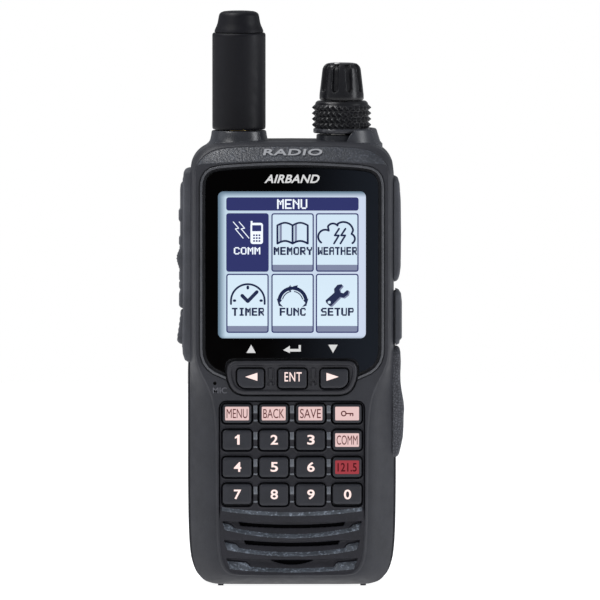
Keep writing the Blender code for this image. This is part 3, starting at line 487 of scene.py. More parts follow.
LEATHER, WINDOW, GLOW, CELL_LIT, BOARD, SLEEVE = leather(), gloss_black(), display_glow(), lcd_cell(), board(), sleeve()


# ---------------------------------------------------------------- mesh helpers
SCRATCH = bpy.data.collections.new("scratch")
bpy.context.scene.collection.children.link(SCRATCH)


def as_object(name, mesh, materials=()):
    made = bpy.data.objects.new(name, mesh)
    bpy.context.scene.collection.objects.link(made)
    for finish in materials:
        mesh.materials.append(finish)
    return made


def from_arrays(name, points, faces, materials=(), indices=None):
    mesh = bpy.data.meshes.new(name)
    mesh.from_pydata([tuple(c * MM for c in p) for p in points], [], faces)
    if indices is not None:
        mesh.polygons.foreach_set("material_index", indices)
    mesh.validate()
    bm = bmesh.new()
    bm.from_mesh(mesh)
    bmesh.ops.recalc_face_normals(bm, faces=bm.faces)
    bm.to_mesh(mesh)
    bm.free()
    return as_object(name, mesh, materials)


def shade(piece, angle=32.0, weighted=True):
    piece.data.shade_smooth()
    piece.data.set_sharp_from_angle(angle=math.radians(angle))
    if weighted:
        modifier = piece.modifiers.new("weighted", "WEIGHTED_NORMAL")
        modifier.keep_sharp = True
        modifier.weight = 80
    return piece


def stand(piece, body=BODY, nodes=(), angle=32.0, weighted=True):
    """Shades a finished piece, ties it to its body, and hides the CAD nodes it stands for."""
    shade(piece, angle, weighted)
    if nodes:
        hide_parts(*nodes)
    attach(piece, body)
    return piece


def rings(name, loops, materials=(), indices=None, cap=True):
    """A skin over rings of (x, y, z) with the same number of points, closed at both ends."""
    points = [p for loop in loops for p in loop]
    n = len(loops[0])
    faces, marks = [], []
    for k in range(len(loops) - 1):
        for i in range(n):
            j = (i + 1) % n
            faces.append((k * n + i, k * n + j, (k + 1) * n + j, (k + 1) * n + i))
            marks.append(indices(k, i) if indices else 0)
    if cap:
        faces.append(tuple(range(n)))
        faces.append(tuple(range((len(loops) - 1) * n, len(loops) * n))[::-1])
        marks += [0, 0]
    return from_arrays(name, points, faces, materials, marks)


def slab(name, outline, y0, y1, finish=(), edge=0.0, seg=4, back=0.0, at=(0, 0)):
    """An outline in x and z made solid from y0, its face, back to y1, with its face's edge rounded."""
    outline = [(p[0] + at[0], p[1] + at[1]) for p in outline]
    steps = [(0.0, 0.0)]
    if edge:
        steps = [
            (edge * (1 - math.sin(a)), edge * (1 - math.cos(a)))
            for a in np.linspace(0, math.pi / 2, seg + 1)
        ]
    # from the face's flat towards its side: (inset, depth)
    loops = [[(x, y0 + d, z) for x, z in inset(outline, i)] for i, d in steps]
    if back:
        loops += [[(x, y1 - back, z) for x, z in outline], [(x, y1, z) for x, z in inset(outline, back)]]
    else:
        loops.append([(x, y1, z) for x, z in outline])
    return rings(name, loops, finish)


def lathe(name, profile, finish=(), at=(0, 0), steps=96, wave=None):
    """A profile of (radius, z) turned about Z. wave(angle, z, radius) gives another radius."""
    loops = []
    for r, z in profile:
        loop = []
        for i in range(steps):
            a = math.tau * i / steps
            q = wave(a, z, r) if wave else r
            loop.append((at[0] + q * math.cos(a), at[1] + q * math.sin(a), z))
        loops.append(loop)
    return rings(name, loops, finish)


def tube(name, profile, finish=(), at=(0, 0), steps=96, wave=None, zone=None):
    """A closed profile of (radius, z) turned about Z, with a hole along the axis."""
    n = len(profile)
    points = []
    for r, z in profile:
        for i in range(steps):
            a = math.tau * i / steps
            q = wave(a, z, r) if wave else r
            points.append((at[0] + q * math.cos(a), at[1] + q * math.sin(a), z))
    faces = [
        (k * steps + i, k * steps + (i + 1) % steps, ((k + 1) % n) * steps + (i + 1) % steps, ((k + 1) % n) * steps + i)
        for k in range(n)
        for i in range(steps)
    ]
    marks = [zone(k) if zone else 0 for k in range(n) for _ in range(steps)]
    return from_arrays(name, points, faces, finish, marks)


def block(name, lo, hi, finish=(), edge=0.15):
    """A box with all its edges rounded."""
    bm = bmesh.new()
    bmesh.ops.create_cube(bm, size=1)
    bmesh.ops.scale(bm, vec=[(h - w) * MM for w, h in zip(lo, hi)], verts=bm.verts)
    bmesh.ops.translate(bm, vec=[(h + w) / 2 * MM for w, h in zip(lo, hi)], verts=bm.verts)
    if edge:
        bmesh.ops.bevel(bm, geom=list(bm.edges), offset=edge * MM, offset_type="OFFSET", segments=3, profile=0.5, affect="EDGES")
    mesh = bpy.data.meshes.new(name)
    bm.to_mesh(mesh)
    bm.free()
    return as_object(name, mesh, finish)


def rod(name, radius, a, b, finish=(), sides=32):
    """A cylinder between two points."""
    a, b = Vector(a), Vector(b)
    bm = bmesh.new()
    bmesh.ops.create_cone(bm, cap_ends=True, segments=sides, radius1=radius * MM, radius2=radius * MM, depth=(b - a).length * MM)
    turn = (b - a).to_track_quat("Z", "Y").to_matrix().to_4x4()
    bmesh.ops.transform(bm, matrix=Matrix.Translation((a + b) / 2 * MM) @ turn, verts=bm.verts)
    mesh = bpy.data.meshes.new(name)
    bm.to_mesh(mesh)
    bm.free()
    return as_object(name, mesh, finish)


def baked(piece):
    bpy.context.view_layer.update()
    mesh = bpy.data.meshes.new_from_object(
        piece.evaluated_get(bpy.context.evaluated_depsgraph_get())
    )
    piece.modifiers.clear()
    piece.data = mesh
    return piece


def boolean(piece, operation, tools):
    """Joins the tools to the piece, or cuts them from it, and removes them."""
    group = bpy.data.collections.new("tools")
    SCRATCH.children.link(group)
    for tool in tools:
        for folder in list(tool.users_collection):
            folder.objects.unlink(tool)
        group.objects.link(tool)
    modifier = piece.modifiers.new("cut", "BOOLEAN")
    modifier.operation = operation
    modifier.solver = "EXACT"
    modifier.operand_type = "COLLECTION"
    modifier.material_mode = "TRANSFER"
    modifier.collection = group
    baked(piece)
    for tool in tools:
        bpy.data.objects.remove(tool, do_unlink=True)
    bpy.data.collections.remove(group)
    return piece


def field(name, outline, height, finish, nu, nv, base, place, zones=None, dense=0.0):
    """A relief: a grid over an outline whose height above its plane is height(u, v), made solid down to base.
    place(u, v, h) turns a point of the plane and its height into (x, y, z)."""
    p = np.array([q[:2] for q in outline], float)
    lo, hi = p[:, 1].min() + 1e-4, p[:, 1].max() - 1e-4
    def spread(n):
        t = np.linspace(0, 1, n)
        return (1 - dense) * t + dense * (0.5 - 0.5 * np.cos(np.pi * t))

    v = lo + (hi - lo) * spread(nv)
    left, right = np.full(nv, 1e9), np.full(nv, -1e9)
    for a, b in zip(p, np.roll(p, -1, 0)):
        if abs(a[1] - b[1]) < 1e-9:
            continue
        inside = (v >= min(a[1], b[1])) & (v <= max(a[1], b[1]))
        u = a[0] + (v - a[1]) / (b[1] - a[1]) * (b[0] - a[0])
        left = np.where(inside, np.minimum(left, u), left)
        right = np.where(inside, np.maximum(right, u), right)
    s = spread(nu)
    U = left[:, None] + (right - left)[:, None] * s[None, :]
    V = np.repeat(v[:, None], nu, 1)
    H = height(U, V)
    top = np.stack(place(U, V, H), -1).reshape(-1, 3)
    index = np.arange(nu * nv).reshape(nv, nu)
    a, b, c, d = index[:-1, :-1], index[:-1, 1:], index[1:, 1:], index[1:, :-1]
    quads = np.stack([a, b, c, d], -1).reshape(-1, 4)
    border = np.concatenate([index[0, :], index[1:, -1], index[-1, -2::-1], index[-2:0:-1, 0]])
    flat_u, flat_v = U.reshape(-1)[border], V.reshape(-1)[border]
    skirt = np.stack(place(flat_u, flat_v, np.full(len(border), float(base))), -1)
    start = nu * nv
    m = len(border)
    sides = [
        (int(border[i]), int(border[(i + 1) % m]), start + (i + 1) % m, start + i) for i in range(m)
    ]
    faces = [tuple(int(k) for k in q) for q in quads] + sides + [tuple(range(start, start + m))]
    marks = None
    if zones is not None:
        middle_u = (U[:-1, :-1] + U[1:, 1:]) / 2
        middle_v = (V[:-1, :-1] + V[1:, 1:]) / 2
        marks = list(zones(middle_u, middle_v).reshape(-1).astype(int)) + [0] * (m + 1)
    return from_arrays(name, np.vstack([top, skirt]), faces, finish, marks)


def to_front(u, v, h):
    return u, -h, v


def to_left(u, v, h):
    return -h, u, v


def to_right(u, v, h):
    return h, u, v


# ---------------------------------------------------------------- lettering and symbols
def lettering(name, text, width, height, finish, at, facing="front", weight=0.0, shear=0.0, spacing=1.0, depth=0.05, tilt=0.0):
    """Text scaled to a width and a height and centred on a point. tilt leans it back, in degrees."""
    curve = bpy.data.curves.new(name, "FONT")
    curve.body = text
    curve.align_x, curve.align_y = "CENTER", "CENTER"
    curve.shear = shear
    curve.space_character = spacing
    curve.offset = weight
    curve.extrude = 0.01
    curve.resolution_u = 6
    drawn = bpy.data.objects.new(name + ".text", curve)
    SCRATCH.objects.link(drawn)
    bpy.context.view_layer.update()
    mesh = bpy.data.meshes.new_from_object(
        drawn.evaluated_get(bpy.context.evaluated_depsgraph_get())
    )
    bpy.data.objects.remove(drawn, do_unlink=True)
    co = np.array([v.co for v in mesh.vertices])
    lo, hi = co.min(0), co.max(0)
    co = (co - (lo + hi) / 2) * np.array([width / (hi[0] - lo[0]), height / (hi[1] - lo[1]), depth / (hi[2] - lo[2])])
    turn = np.array(Matrix.Rotation(math.radians(90 - tilt), 3, "X"))
    co = (co @ turn.T + np.array(at)) * MM
    mesh.vertices.foreach_set("co", co.astype(np.float32).reshape(-1))
    mesh.materials.clear()
    mesh.update()
    return as_object(name, mesh, [finish])


def sheet_of(name, polygons, y, finish):
    """Flat polygons of (x, z) at one depth, facing the front."""
    points, faces = [], []
    for polygon in polygons:
        start = len(points)
        points += [(x, y, z) for x, z in polygon]
        faces.append(tuple(range(start, start + len(polygon))))
    mesh = bpy.data.meshes.new(name)
    mesh.from_pydata([tuple(c * MM for c in p) for p in points], [], faces)
    for face in mesh.polygons:
        if face.normal.y > 0:
            face.flip()
    mesh.update()
    return as_object(name, mesh, [finish])


def stroke(points, w):
    """Rectangles and round ends along a line."""
    made = []
    for a, b in zip(points, points[1:]):
        a, b = Vector(a), Vector(b)
        d = (b - a).normalized() if (b - a).length > 1e-6 else Vector((1, 0))
        n = Vector((-d.y, d.x)) * w / 2
        made.append([tuple(a + n), tuple(b + n), tuple(b - n), tuple(a - n)])
    for p in points:
        made.append([(p[0] + w / 2 * math.cos(math.tau * k / 8), p[1] + w / 2 * math.sin(math.tau * k / 8)) for k in range(8)])
    return made


def arc(cx, cz, r, a0, a1, n=20, rz=None):
    rz = r if rz is None else rz
    return [
        (cx + r * math.cos(math.radians(a0 + (a1 - a0) * i / n)), cz + rz * math.sin(math.radians(a0 + (a1 - a0) * i / n)))
        for i in range(n + 1)
    ]


GLYPHS = {
    "A": "01110100011000111111100011000110001",
    "C": "01110100011000010000100001000101110",
    "E": "11111100001000011110100001000011111",
    "F": "11111100001000011110100001000010000",
    "H": "10001100011000111111100011000110001",
    "I": "01110001000010000100001000010001110",
    "M": "10001110111010110101100011000110001",
    "N": "10001110011010110011100011000110001",
    "O": "01110100011000110001100011000101110",
    "P": "11110100011000111110100001000010000",
    "R": "11110100011000111110101001001010001",
    "S": "01111100001000001110000010000111110",
    "T": "11111001000010000100001000010000100",
    "U": "10001100011000110001100011000101110",
    "W": "10001100011000110101101011101110001",
    "Y": "10001100010101000100001000010000100",
}


def pixels(text, cx, cz, width, height, bold=1.8, tall=1.45):
    """Dot-matrix letters as rectangles, centred on a point."""
    columns = 6 * len(text) - 1
    pw, ph = width / columns, height / 7
    made = []
    for k, letter in enumerate(text):
        for i, bit in enumerate(GLYPHS[letter]):
            if bit == "1":
                x = cx - width / 2 + (6 * k + i % 5) * pw
                z = cz + height / 2 - (i // 5) * ph
                w = pw * (bold if i % 5 < 4 or bold < 1 else 1.15)
                made.append([(x, z), (x + w, z), (x + w, z - ph * tall), (x, z - ph * tall)])
    return made


# ================================================================ casing, front half
rows = refined([(*a, *b, *c) for a, b, c in STATIONS], 5)
FULL = whole([(r[0], r[1]) for r in rows])
RIM = whole([(r[2], r[3], r[4]) for r in rows])
EDGE = whole([(r[5], r[6]) for r in rows])
REAR = [
    (x + math.copysign(0.7 * min(1.0, max(0.0, (84 - z) / 20)) * min(1.0, abs(x) / 26), x), z)
    for x, z in FULL
]


def top_share(z):
    """1 on the sloped panel over the display, 0 lower down."""
    return float(smooth(124.6, 126.6, z))


loops = [[(x, PART_Y - SEAM, z) for x, z in inset(FULL, 0.12)]]
loops.append([(x, PART_Y - SEAM - 0.12, z) for x, z in FULL])
loops.append([(x, -10.3, z) for x, z in FULL])
for s in (0.035, 0.09, 0.17, 0.28, 0.42, 0.58, 0.76, 0.92, 1.0):
    g = 1 - (1 - s) ** 1.55
    loops.append(
        [
            (fx + (rx - fx) * s, -10.3 + (ry + 10.3) * g, fz + (rz - fz) * s)
            for (fx, fz), (rx, rz, ry) in zip(FULL, RIM)
        ]
    )
first_panel_ring = len(loops)
for s, sink in ((0.035, 0.16), (0.3, 0.16), (0.6, 0.16), (0.93, 0.12), (1.0, 0.0)):
    loop = []
    for (rx, rz, ry), (ex, ez) in zip(RIM, EDGE):
        y = ry + (FACE_Y - ry) * s
        loop.append((rx + (ex - rx) * s, y + sink * top_share(rz) * (0.7 + 0.3 * s), rz + (ez - rz) * s - sink * 0.6 * top_share(rz)))
    loops.append(loop)
case_front = rings(
    "case_front",
    loops,
    [CASE, TOP],
    lambda k, i: 1 if k >= first_panel_ring and RIM[i][1] > 125.6 and RIM[(i + 1) % len(RIM)][1] > 125.6 else 0,
)


def top_fitting(name, profile, x, keep, guard=False, steps=96):
    make = tube if guard else lathe
    piece = make(name, profile, [COLLAR_M], (x, TOP_Y), steps)
    y0, y1 = (PART_Y - 0.02, 60) if keep == "front" else (-60, PART_Y + 0.02)
    cuts = [block(name + ".away", (-60, y0, 110), (60, y1, 160), edge=0)]
    if guard:
        cuts.append(
            slab(
                name + ".open",
                [(0, 120), (0, 140), (19.9, 140), (19.4, 137), (18.9, 135.6), (18.3, 134.9), (17.5, 134.3), (16.9, 133.5), (16.4, 132.4), (16.1, 131.0), (16.0, 120)],
                -30, 30,
            )
        )
    return boolean(piece, "DIFFERENCE", cuts)


COLLAR = [(0.01, 135.1), (7.75, 135.1), (8.0, 134.98), (8.15, 134.7), (8.3, 133.6), (8.55, 132.5), (8.8, 131.9), (9.2, 131.4), (9.7, 131.0), (9.7, 129.6), (0.01, 129.6)]
BOSS = [(0.01, 133.9), (7.3, 133.9), (7.5, 133.7), (7.6, 130.0), (0.01, 130.0)]
GUARD = [(9.3, 129.6), (9.3, 135.3), (9.5, 135.6), (9.9, 135.7), (10.2, 135.6), (10.45, 135.3), (11.5, 131.9), (12.2, 131.1), (12.2, 129.6)]
boolean(
    case_front,
    "UNION",
    [
        top_fitting("collar.f", COLLAR, ANT_X, "front"),
        top_fitting("boss.f", BOSS, KNOB_X, "front"),
        top_fitting("guard.f", GUARD, KNOB_X, "front", True),
        rod("foot.0", 0.85, (-21.2, -8, 0.0), (-21.2, -8, 2.0)),
        rod("foot.1", 0.85, (21.2, -8, 0.0), (21.2, -8, 2.0)),
    ],
)
boolean(case_front, "DIFFERENCE", [slab("lens_groove", inset(whole(LENS), -1.95), -19.5, -17.15)])
boolean(case_front, "UNION", [slab("lens_lip", inset(whole(LENS), -1.6), -17.85, -16.4, [LIP_PAINTED_HIGHLIGHT], edge=0.28)])
boolean(
    case_front,
    "DIFFERENCE",
    [
        slab("lens_recess", inset(whole(LENS), -0.95), -19.5, -16.1),
        slab("panel_recess", whole(PANEL), -19.5, -14.2),
        slab("pod_recess", inset(whole(POD), -0.5), -19.5, -15.6),
        rod("mic_hole", 0.52, (-22.9, -19, 60.9), (-22.9, -15.5, 60.9), sides=24),
    ],
)


def side_cut(name, cy, cz, w, h, r, x0, x1):
    """A rounded opening through the right wall."""
    outline = rounded(w, h, r, cx=cy, cy=cz)
    return rings(name, [[(x0, y, z) for y, z in outline], [(x1, y, z) for y, z in outline]])


boolean(
    case_front,
    "DIFFERENCE",
    [
        side_cut("jack_cut", -6.1, 112.0, 7.0, 16.0, 1.2, 19.5, 32.0),
        side_cut("dc_cut", -6.2, 80.0, 6.6, 6.8, 1.2, 19.5, 32.0),
    ],
)
stand(case_front, BODY, ["front_case"], angle=28)

# Plated rims of the sockets behind the two covers.
for rim_name, rim_z, bore in (("mic_rim_1", 108.3, 1.8), ("mic_rim_2", 115.7, 1.3), ("dc_rim", 80.0, 2.2)):
    rim_y = -6.2 if rim_name == "dc_rim" else -6.1
    outer = bore + 0.55
    circle = lambda radius, at_x: [
        (at_x, rim_y + radius * math.cos(math.tau * k / 40), rim_z + radius * math.sin(math.tau * k / 40)) for k in range(40)
    ]
    loops = [circle(outer, 28.5), circle(outer, 28.72), circle(outer - 0.1, 28.8), circle(bore + 0.1, 28.8), circle(bore, 28.72), circle(bore, 28.5)]
    rim = rings(rim_name, loops + loops[:1], [STEEL], cap=False)
    stand(rim, BODY, weighted=False)

# The moulded word under the microphone hole, coloured lighter than the case as painted light on its relief.
mic_word = lettering("mic_word", "MIC", 4.2, 1.75, FAINT_PAINTED_LIGHT, (-21.4, -17.5, 58.8), weight=0.01, depth=0.16)
stand(mic_word, BODY, weighted=False)
mic_disc = rod("mic_disc", 0.5, (-22.9, -16.2, 60.9), (-22.9, -15.6, 60.9), [SEAL], 24)
stand(mic_disc, BODY, weighted=False)

# ================================================================ keypad and louvre panel
RIDGES = (  # centre height of the ledge's foot, its rise at the ends, width and thickness of its ends
    (21.45, 1.25, 99.0, 0.0),
    (14.85, 2.25, 17.0, 0.7),
    (9.45, 1.85, 15.4, 0.95),
    (4.65, 1.05, 12.2, 1.15),
)
POCKET_TOPS = ((19.5, 0.25), (13.95, 0.25), (8.4, 0.4))
PANEL_FLOOR = 16.95


def SLOTS(q):
    """The louvres' dark openings: middle, half height and reach."""
    return ((18.15 + 1.1 * q, 0.44, 15.5), (12.75 + 1.2 * q, 0.5, 13.9))


def panel_height(x, z):
    """Height along -Y; the panel's floor is 0.55 under the plateau's face."""
    q = (x / 19.0) ** 2
    height = np.full(x.shape, PANEL_FLOOR)
    border = edge_distance(x, z, whole(PANEL))
    height -= 0.55 * (1 - smooth(0.22, 0.42, border)) * smooth(20.0, 23.5, z)
    # louvres
    foot0 = RIDGES[0][0] + RIDGES[0][1] * q
    lower = 1 - smooth(foot0 - 0.05, foot0 + 1.05, z)
    height = height + lower * (0.42 + 0.10 * (1 - smooth(0.1, 0.8, border)))
    for (foot, rise, reach, thick), (roof, roof_rise) in zip(RIDGES[1:], POCKET_TOPS):
        low = foot + rise * q
        ledge = 0.95 + thick * smooth(reach, reach + 1.5, np.abs(x))
        top = roof + roof_rise * q
        side = 20.9 - 0.34 * (top - z) - 0.55 * (roof < 14) - 0.7 * (roof < 10)
        walls = 1 - smooth(side - 0.35, side, np.abs(x))
        depth = np.clip((z - low) / ledge, 0, 1) * 1.25
        depth = np.where(z > low + ledge, 1.25 + 0.25 * smooth(0, 2.0, z - low - ledge), depth)
        roofed = 1 - smooth(top - 0.12, top + 0.08, z)
        mask = walls * roofed * (z > low - 0.02)
        height -= depth * mask
        # the dark step over the ledge's thick ends
        notch = smooth(reach - 0.4, reach + 0.8, np.abs(x)) * (1 - smooth(0.1, 0.28, np.abs(z - (low + ledge + 0.42))))
        height -= 0.45 * notch * walls * roofed
    for middle, half, reach in SLOTS(q):
        sd = np.maximum(np.abs(z - middle) - half, np.abs(x) - reach + 0.6 * (middle - z))
        height -= 1.3 * (1 - smooth(-0.06, 0.1, sd))
    crescent_low = 6.85 + 1.15 * (x / 5.9) ** 2
    sd = np.maximum(z - 8.05, crescent_low - z)
    height -= 1.3 * (1 - smooth(-0.06, 0.1, sd)) * (np.abs(x) < 6.3)
    # key wells, with a slightly raised lip
    for names, kz, kh in zip(KEY_NAMES, KEY_Z, KEY_H):
        for name, kx in zip(names, KEY_X):
            sd = box_sd(x, z, kx, kz, KEY_W + 0.75, kh + 0.75, 1.35)
            height += 0.10 * (1 - smooth(0.25, 0.6, sd))
            height -= 2.1 * (1 - smooth(-0.05, 0.1, sd))
        for rx in (KEY_X[0] + KEY_X[1], KEY_X[1] + KEY_X[2], KEY_X[2] + KEY_X[3]):
            sd = box_sd(x, z, rx / 2, kz + 0.1, 1.25, 4.9, 0.25)
            s = np.clip((kz + 2.5 - z) / 1.7, 0, 1)
            bar = 0.15 + 0.75 * s - 0.25 * smooth(kz + 0.3, kz - 0.3, z) + 0.25 * smooth(kz - 1.7, kz - 2.1, z)
            height += bar * (1 - smooth(-0.08, 0.08, sd))
    return np.maximum(height, 14.65)


def panel_zone(x, z):
    """0 the panel, 1 the slots, coloured black as painted shade, 2 the parts of the ribs coloured lighter as a painted
    highlight, 3 the ledges, coloured lighter as painted light from above.
    """
    q = (x / 19.0) ** 2
    zone = np.zeros(x.shape)
    for k, (foot, rise, reach, thick) in enumerate(RIDGES):
        low = foot + rise * q
        ledge = 1.0 + (thick * smooth(reach, reach + 1.5, np.abs(x)) if thick else 0.0)
        roof = POCKET_TOPS[k - 1][0] + POCKET_TOPS[k - 1][1] * q if k else 99.0
        side = 20.75 - 0.34 * (np.minimum(roof, 22) - z) - (0.55 if k > 1 else 0) - (0.7 if k > 2 else 0) if k else 20.9
        zone = np.where((z > low - 0.1) & (z < low + ledge) & (np.abs(x) < side), 3, zone)
    for middle, half, reach in SLOTS(q):
        zone = np.where(np.maximum(np.abs(z - middle) - half, np.abs(x) - reach + 0.6 * (middle - z)) < 0.05, 1, zone)
    zone = np.where((z < 8.1) & (z > 6.8 + 1.15 * (x / 5.9) ** 2) & (np.abs(x) < 6.3), 1, zone)
    for kz in KEY_Z:
        for a, b in zip(KEY_X, KEY_X[1:]):
            inside = (np.abs(x - (a + b) / 2) < 0.6) & (z > kz + 0.15) & (z < kz + 2.4)
            zone = np.where(inside, 2, zone)
            under = (np.abs(x - (a + b) / 2) < 0.6) & (z > kz - 2.3) & (z < kz - 1.8)
            zone = np.where(under, 2, zone)
    return zone


key_panel = field("key_panel", whole(PANEL), panel_height, [PANEL_M, SLOT_PAINTED_SHADE, RIB_PAINTED_HIGHLIGHT, LEDGE_PAINTED_LIGHT], 400, 470, 14.6, to_front, panel_zone)
stand(key_panel, BODY, angle=180, weighted=False)

# ================================================================ navigation pod
POD_OUT = whole(POD)


def pod_surface(x, z):
    d = edge_distance(x, z, POD_OUT)
    r = 0.75
    height = 18.62 - r * (1 - np.sqrt(np.clip(1 - (1 - np.clip(d / r, 0, 1)) ** 2, 0, 1)))
    height -= 0.42 * smooth(1.05, 1.55, d)
    for name, kx, kw in NAV_KEYS:
        radii = NAV_CORNERS[name]
        u, v = x - kx, z - NAV_Z
        r = np.where(v > 0, np.where(u > 0, radii[0], radii[3]), np.where(u > 0, radii[1], radii[2])) + 0.35
        qx, qz = np.abs(u) - ((kw + 0.7) / 2 - r), np.abs(v) - ((NAV_H + 0.7) / 2 - r)
        sd = np.minimum(np.maximum(qx, qz), 0) + np.hypot(np.maximum(qx, 0), np.maximum(qz, 0)) - r
        height -= 2.4 * (1 - smooth(-0.05, 0.1, sd))
    for s in (-1, 1):
        sd = box_sd(x, z, s * 6.3, 63.1, 2.3, 5.3, 0.4)
        height -= 0.28 * (1 - smooth(-0.1, 0.12, sd))
        bar = box_sd(x, z, s * 6.3, 63.8, 1.2, 3.4, 0.3)
        height += 0.30 * (1 - smooth(-0.12, 0.1, bar))
        dot = np.hypot(x - s * 6.3, z - 61.0)
        height += 0.55 * np.sqrt(np.clip(1 - (dot / 0.62) ** 2, 0, 1))
    return height


nav_pod = field("nav_pod", POD_OUT, pod_surface, [POD_M], 420, 130, 14.8, to_front)
stand(nav_pod, BODY, ["nav_key_bezel"], angle=180, weighted=False)

# ================================================================ display window
window = slab("window_pane", whole(LENS), -17.6, -16.3, [WINDOW], edge=0.22, seg=4)
boolean(window, "DIFFERENCE", [slab("screen_cut", rounded(SCREEN_W, 43.7, 1.6, 10, cy=SCREEN_Z), -19, -17.28)])
stand(window, BODY, ["display_window"], angle=28)

Y0 = -17.30
screen = sheet_of("lcd_ground", [rounded(SCREEN_W + 0.1, 43.8, 1.6, 10, cy=SCREEN_Z)], Y0, GLOW)
COLUMNS = ((-19.5, -6.9), (-6.1, 6.5), (7.1, 19.8))
ROWS = ((94.1, 111.5), (75.9, 93.5))
frames, fills, greys = [], [], []
for k, (z0, z1) in enumerate(ROWS):
    for i, (x0, x1) in enumerate(COLUMNS):
        cx, cz, w, h = (x0 + x1) / 2, (z0 + z1) / 2, x1 - x0, z1 - z0
        frames.append(rounded(w, h, 0.75, 5, cx, cz))
        if (i, k) != (0, 0):
            fills.append(rounded(w - 0.74, h - 0.74, 0.45, 5, cx, cz))
            greys.append(rounded(w - 0.74, 1.7, (0.1, 0.45, 0.45, 0.1), 4, cx, z0 + 0.37 + 0.85))
frames.append(rounded(39.3, 3.95, 0.75, 5, 0.15, 114.25))
lcd_frames = sheet_of("lcd_frames", frames, Y0 - 0.02, NAVY)
lcd_fills = sheet_of("lcd_fills", fills, Y0 - 0.04, CELL_LIT)
lcd_greys = sheet_of("lcd_greys", greys, Y0 - 0.055, LCD_GREY)

light, ink, pale = [], [], []
light += pixels("MENU", 0.05, 114.25, 8.9, 2.85, 1.2, 1.1)
light += pixels("COMM", -13.35, 100.35, 7.8, 2.1, 1.3, 1.15)
for text, cx, cz, w in (
    ("MEMORY", 0.25, 100.35, 11.4), ("WEATHER", 13.45, 100.35, 11.6),
    ("TIMER", -13.1, 82.25, 9.5), ("FUNC", 0.2, 82.25, 7.7), ("SETUP", 13.45, 82.25, 9.7),
):
    ink += pixels(text, cx, cz, w, 2.25)

# a handset with two sparks
ox, oz = -13.2, 105.7
light.append(rounded(3.7, 6.3, 0.7, 4, ox + 2.75, oz - 0.2))
light.append([(ox + 0.95, oz + 2.3), (ox + 1.5, oz + 2.3), (ox + 1.5, oz + 3.5), (ox + 0.95, oz + 3.5)])
ink_on_light = [rounded(2.7, 1.8, 0.15, 2, ox + 2.75, oz + 1.35)]
for r in range(3):
    for c in range(3):
        ink_on_light.append(rounded(0.55, 0.5, 0.1, 2, ox + 1.95 + 0.8 * c, oz - 0.75 - 0.85 * r))
for dx in (0.0, 1.75):
    light += stroke([(ox - 4.2 + dx, oz + 3.2), (ox - 2.6 + dx, oz + 1.35), (ox - 3.6 + dx, oz + 1.15), (ox - 1.3 + dx, oz - 1.6)], 0.26)
# an open book
ox, oz = 0.2, 105.6
for s in (-1, 1):
    top_line = [(ox, oz + 2.3)] + [(ox + s * 4.5 * t, oz + 2.3 + 0.85 * math.sin(math.pi * t) * 0.9) for t in np.linspace(0.1, 1, 10)]
    low_line = [(x, z - 5.4) for x, z in top_line]
    ink += stroke(top_line, 0.55) + stroke(low_line, 0.6)
    ink += stroke([top_line[-1], low_line[-1]], 0.6)
    inner = ox + s * 0.95 if s > 0 else ox - 3.55
    pale += [[(inner - 0.35, oz + 2.7), (inner + 0.35, oz + 2.75), (inner + 0.35, oz - 2.6), (inner - 0.35, oz - 2.65)]]
ink += stroke([(ox, oz + 2.3), (ox, oz - 3.1)], 0.6)
# a cloud with two bolts
ox, oz = 13.4, 105.4
ink += stroke(
    arc(ox - 3.5, oz - 0.9, 2.1, 235, 60, 16) + arc(ox - 1.2, oz + 1.3, 1.75, 150, 40, 12)[0:] + arc(ox + 1.9, oz + 0.6, 2.9, 125, 8, 16)
    + arc(ox + 3.8, oz - 1.5, 1.5, 70, -60, 10), 0.58)
for dx in (0.0, 1.9):
    ink += stroke([(ox + 0.6 + dx, oz + 1.5), (ox - 0.7 + dx, oz - 0.5), (ox + 0.55 + dx, oz - 0.5), (ox - 0.9 + dx, oz - 2.9)], 0.55)
# a clock with check-shaped hands
ox, oz = -13.1, 85.4
ink += stroke(arc(ox, oz, 5.0, 0, 180, 28), 0.58)
ink += stroke([(ox - 5.0, oz), (ox - 5.0, oz - 0.9)], 0.58) + stroke([(ox + 5.0, oz), (ox + 5.0, oz - 0.9)], 0.58)
ink += stroke([(ox - 1.7, oz + 1.6), (ox, oz - 0.1), (ox + 2.7, oz + 2.7)], 1.05)
ink += stroke([(ox, oz + 4.2), (ox, oz + 3.8)], 0.8) + stroke([(ox - 4.1, oz + 0.1), (ox - 3.8, oz + 0.1)], 0.75) + stroke([(ox + 4.1, oz + 0.1), (ox + 3.8, oz + 0.1)], 0.75)
# arrows that chase each other
ox, oz = 0.2, 85.2
ink += stroke(arc(ox, oz, 4.0, 94, 168, 14), 1.05) + stroke(arc(ox, oz, 4.0, 86, 12, 14), 1.05)
ink += stroke(arc(ox, oz, 3.05, 100, 165, 12), 0.3) + stroke(arc(ox, oz, 3.05, 80, 15, 12), 0.3)
ink += [[(ox - 0.6, oz + 5.0), (ox - 0.5, oz + 3.0), (ox - 1.9, oz + 3.5)], [(ox + 0.1, oz + 4.6), (ox + 1.6, oz + 4.9), (ox + 1.1, oz + 3.4)]]
ink += [[(ox - 4.7, oz + 0.9), (ox - 3.1, oz + 0.5), (ox - 4.2, oz - 0.9)], [(ox + 4.7, oz + 0.9), (ox + 3.1, oz + 0.5), (ox + 4.2, oz - 0.9)]]
ink += [[(ox - 4.2, oz - 1.2), (ox - 2.8, oz - 1.6), (ox - 4.0, oz - 0.2)], [(ox + 4.2, oz - 1.2), (ox + 2.8, oz - 1.6), (ox + 4.0, oz - 0.2)]]
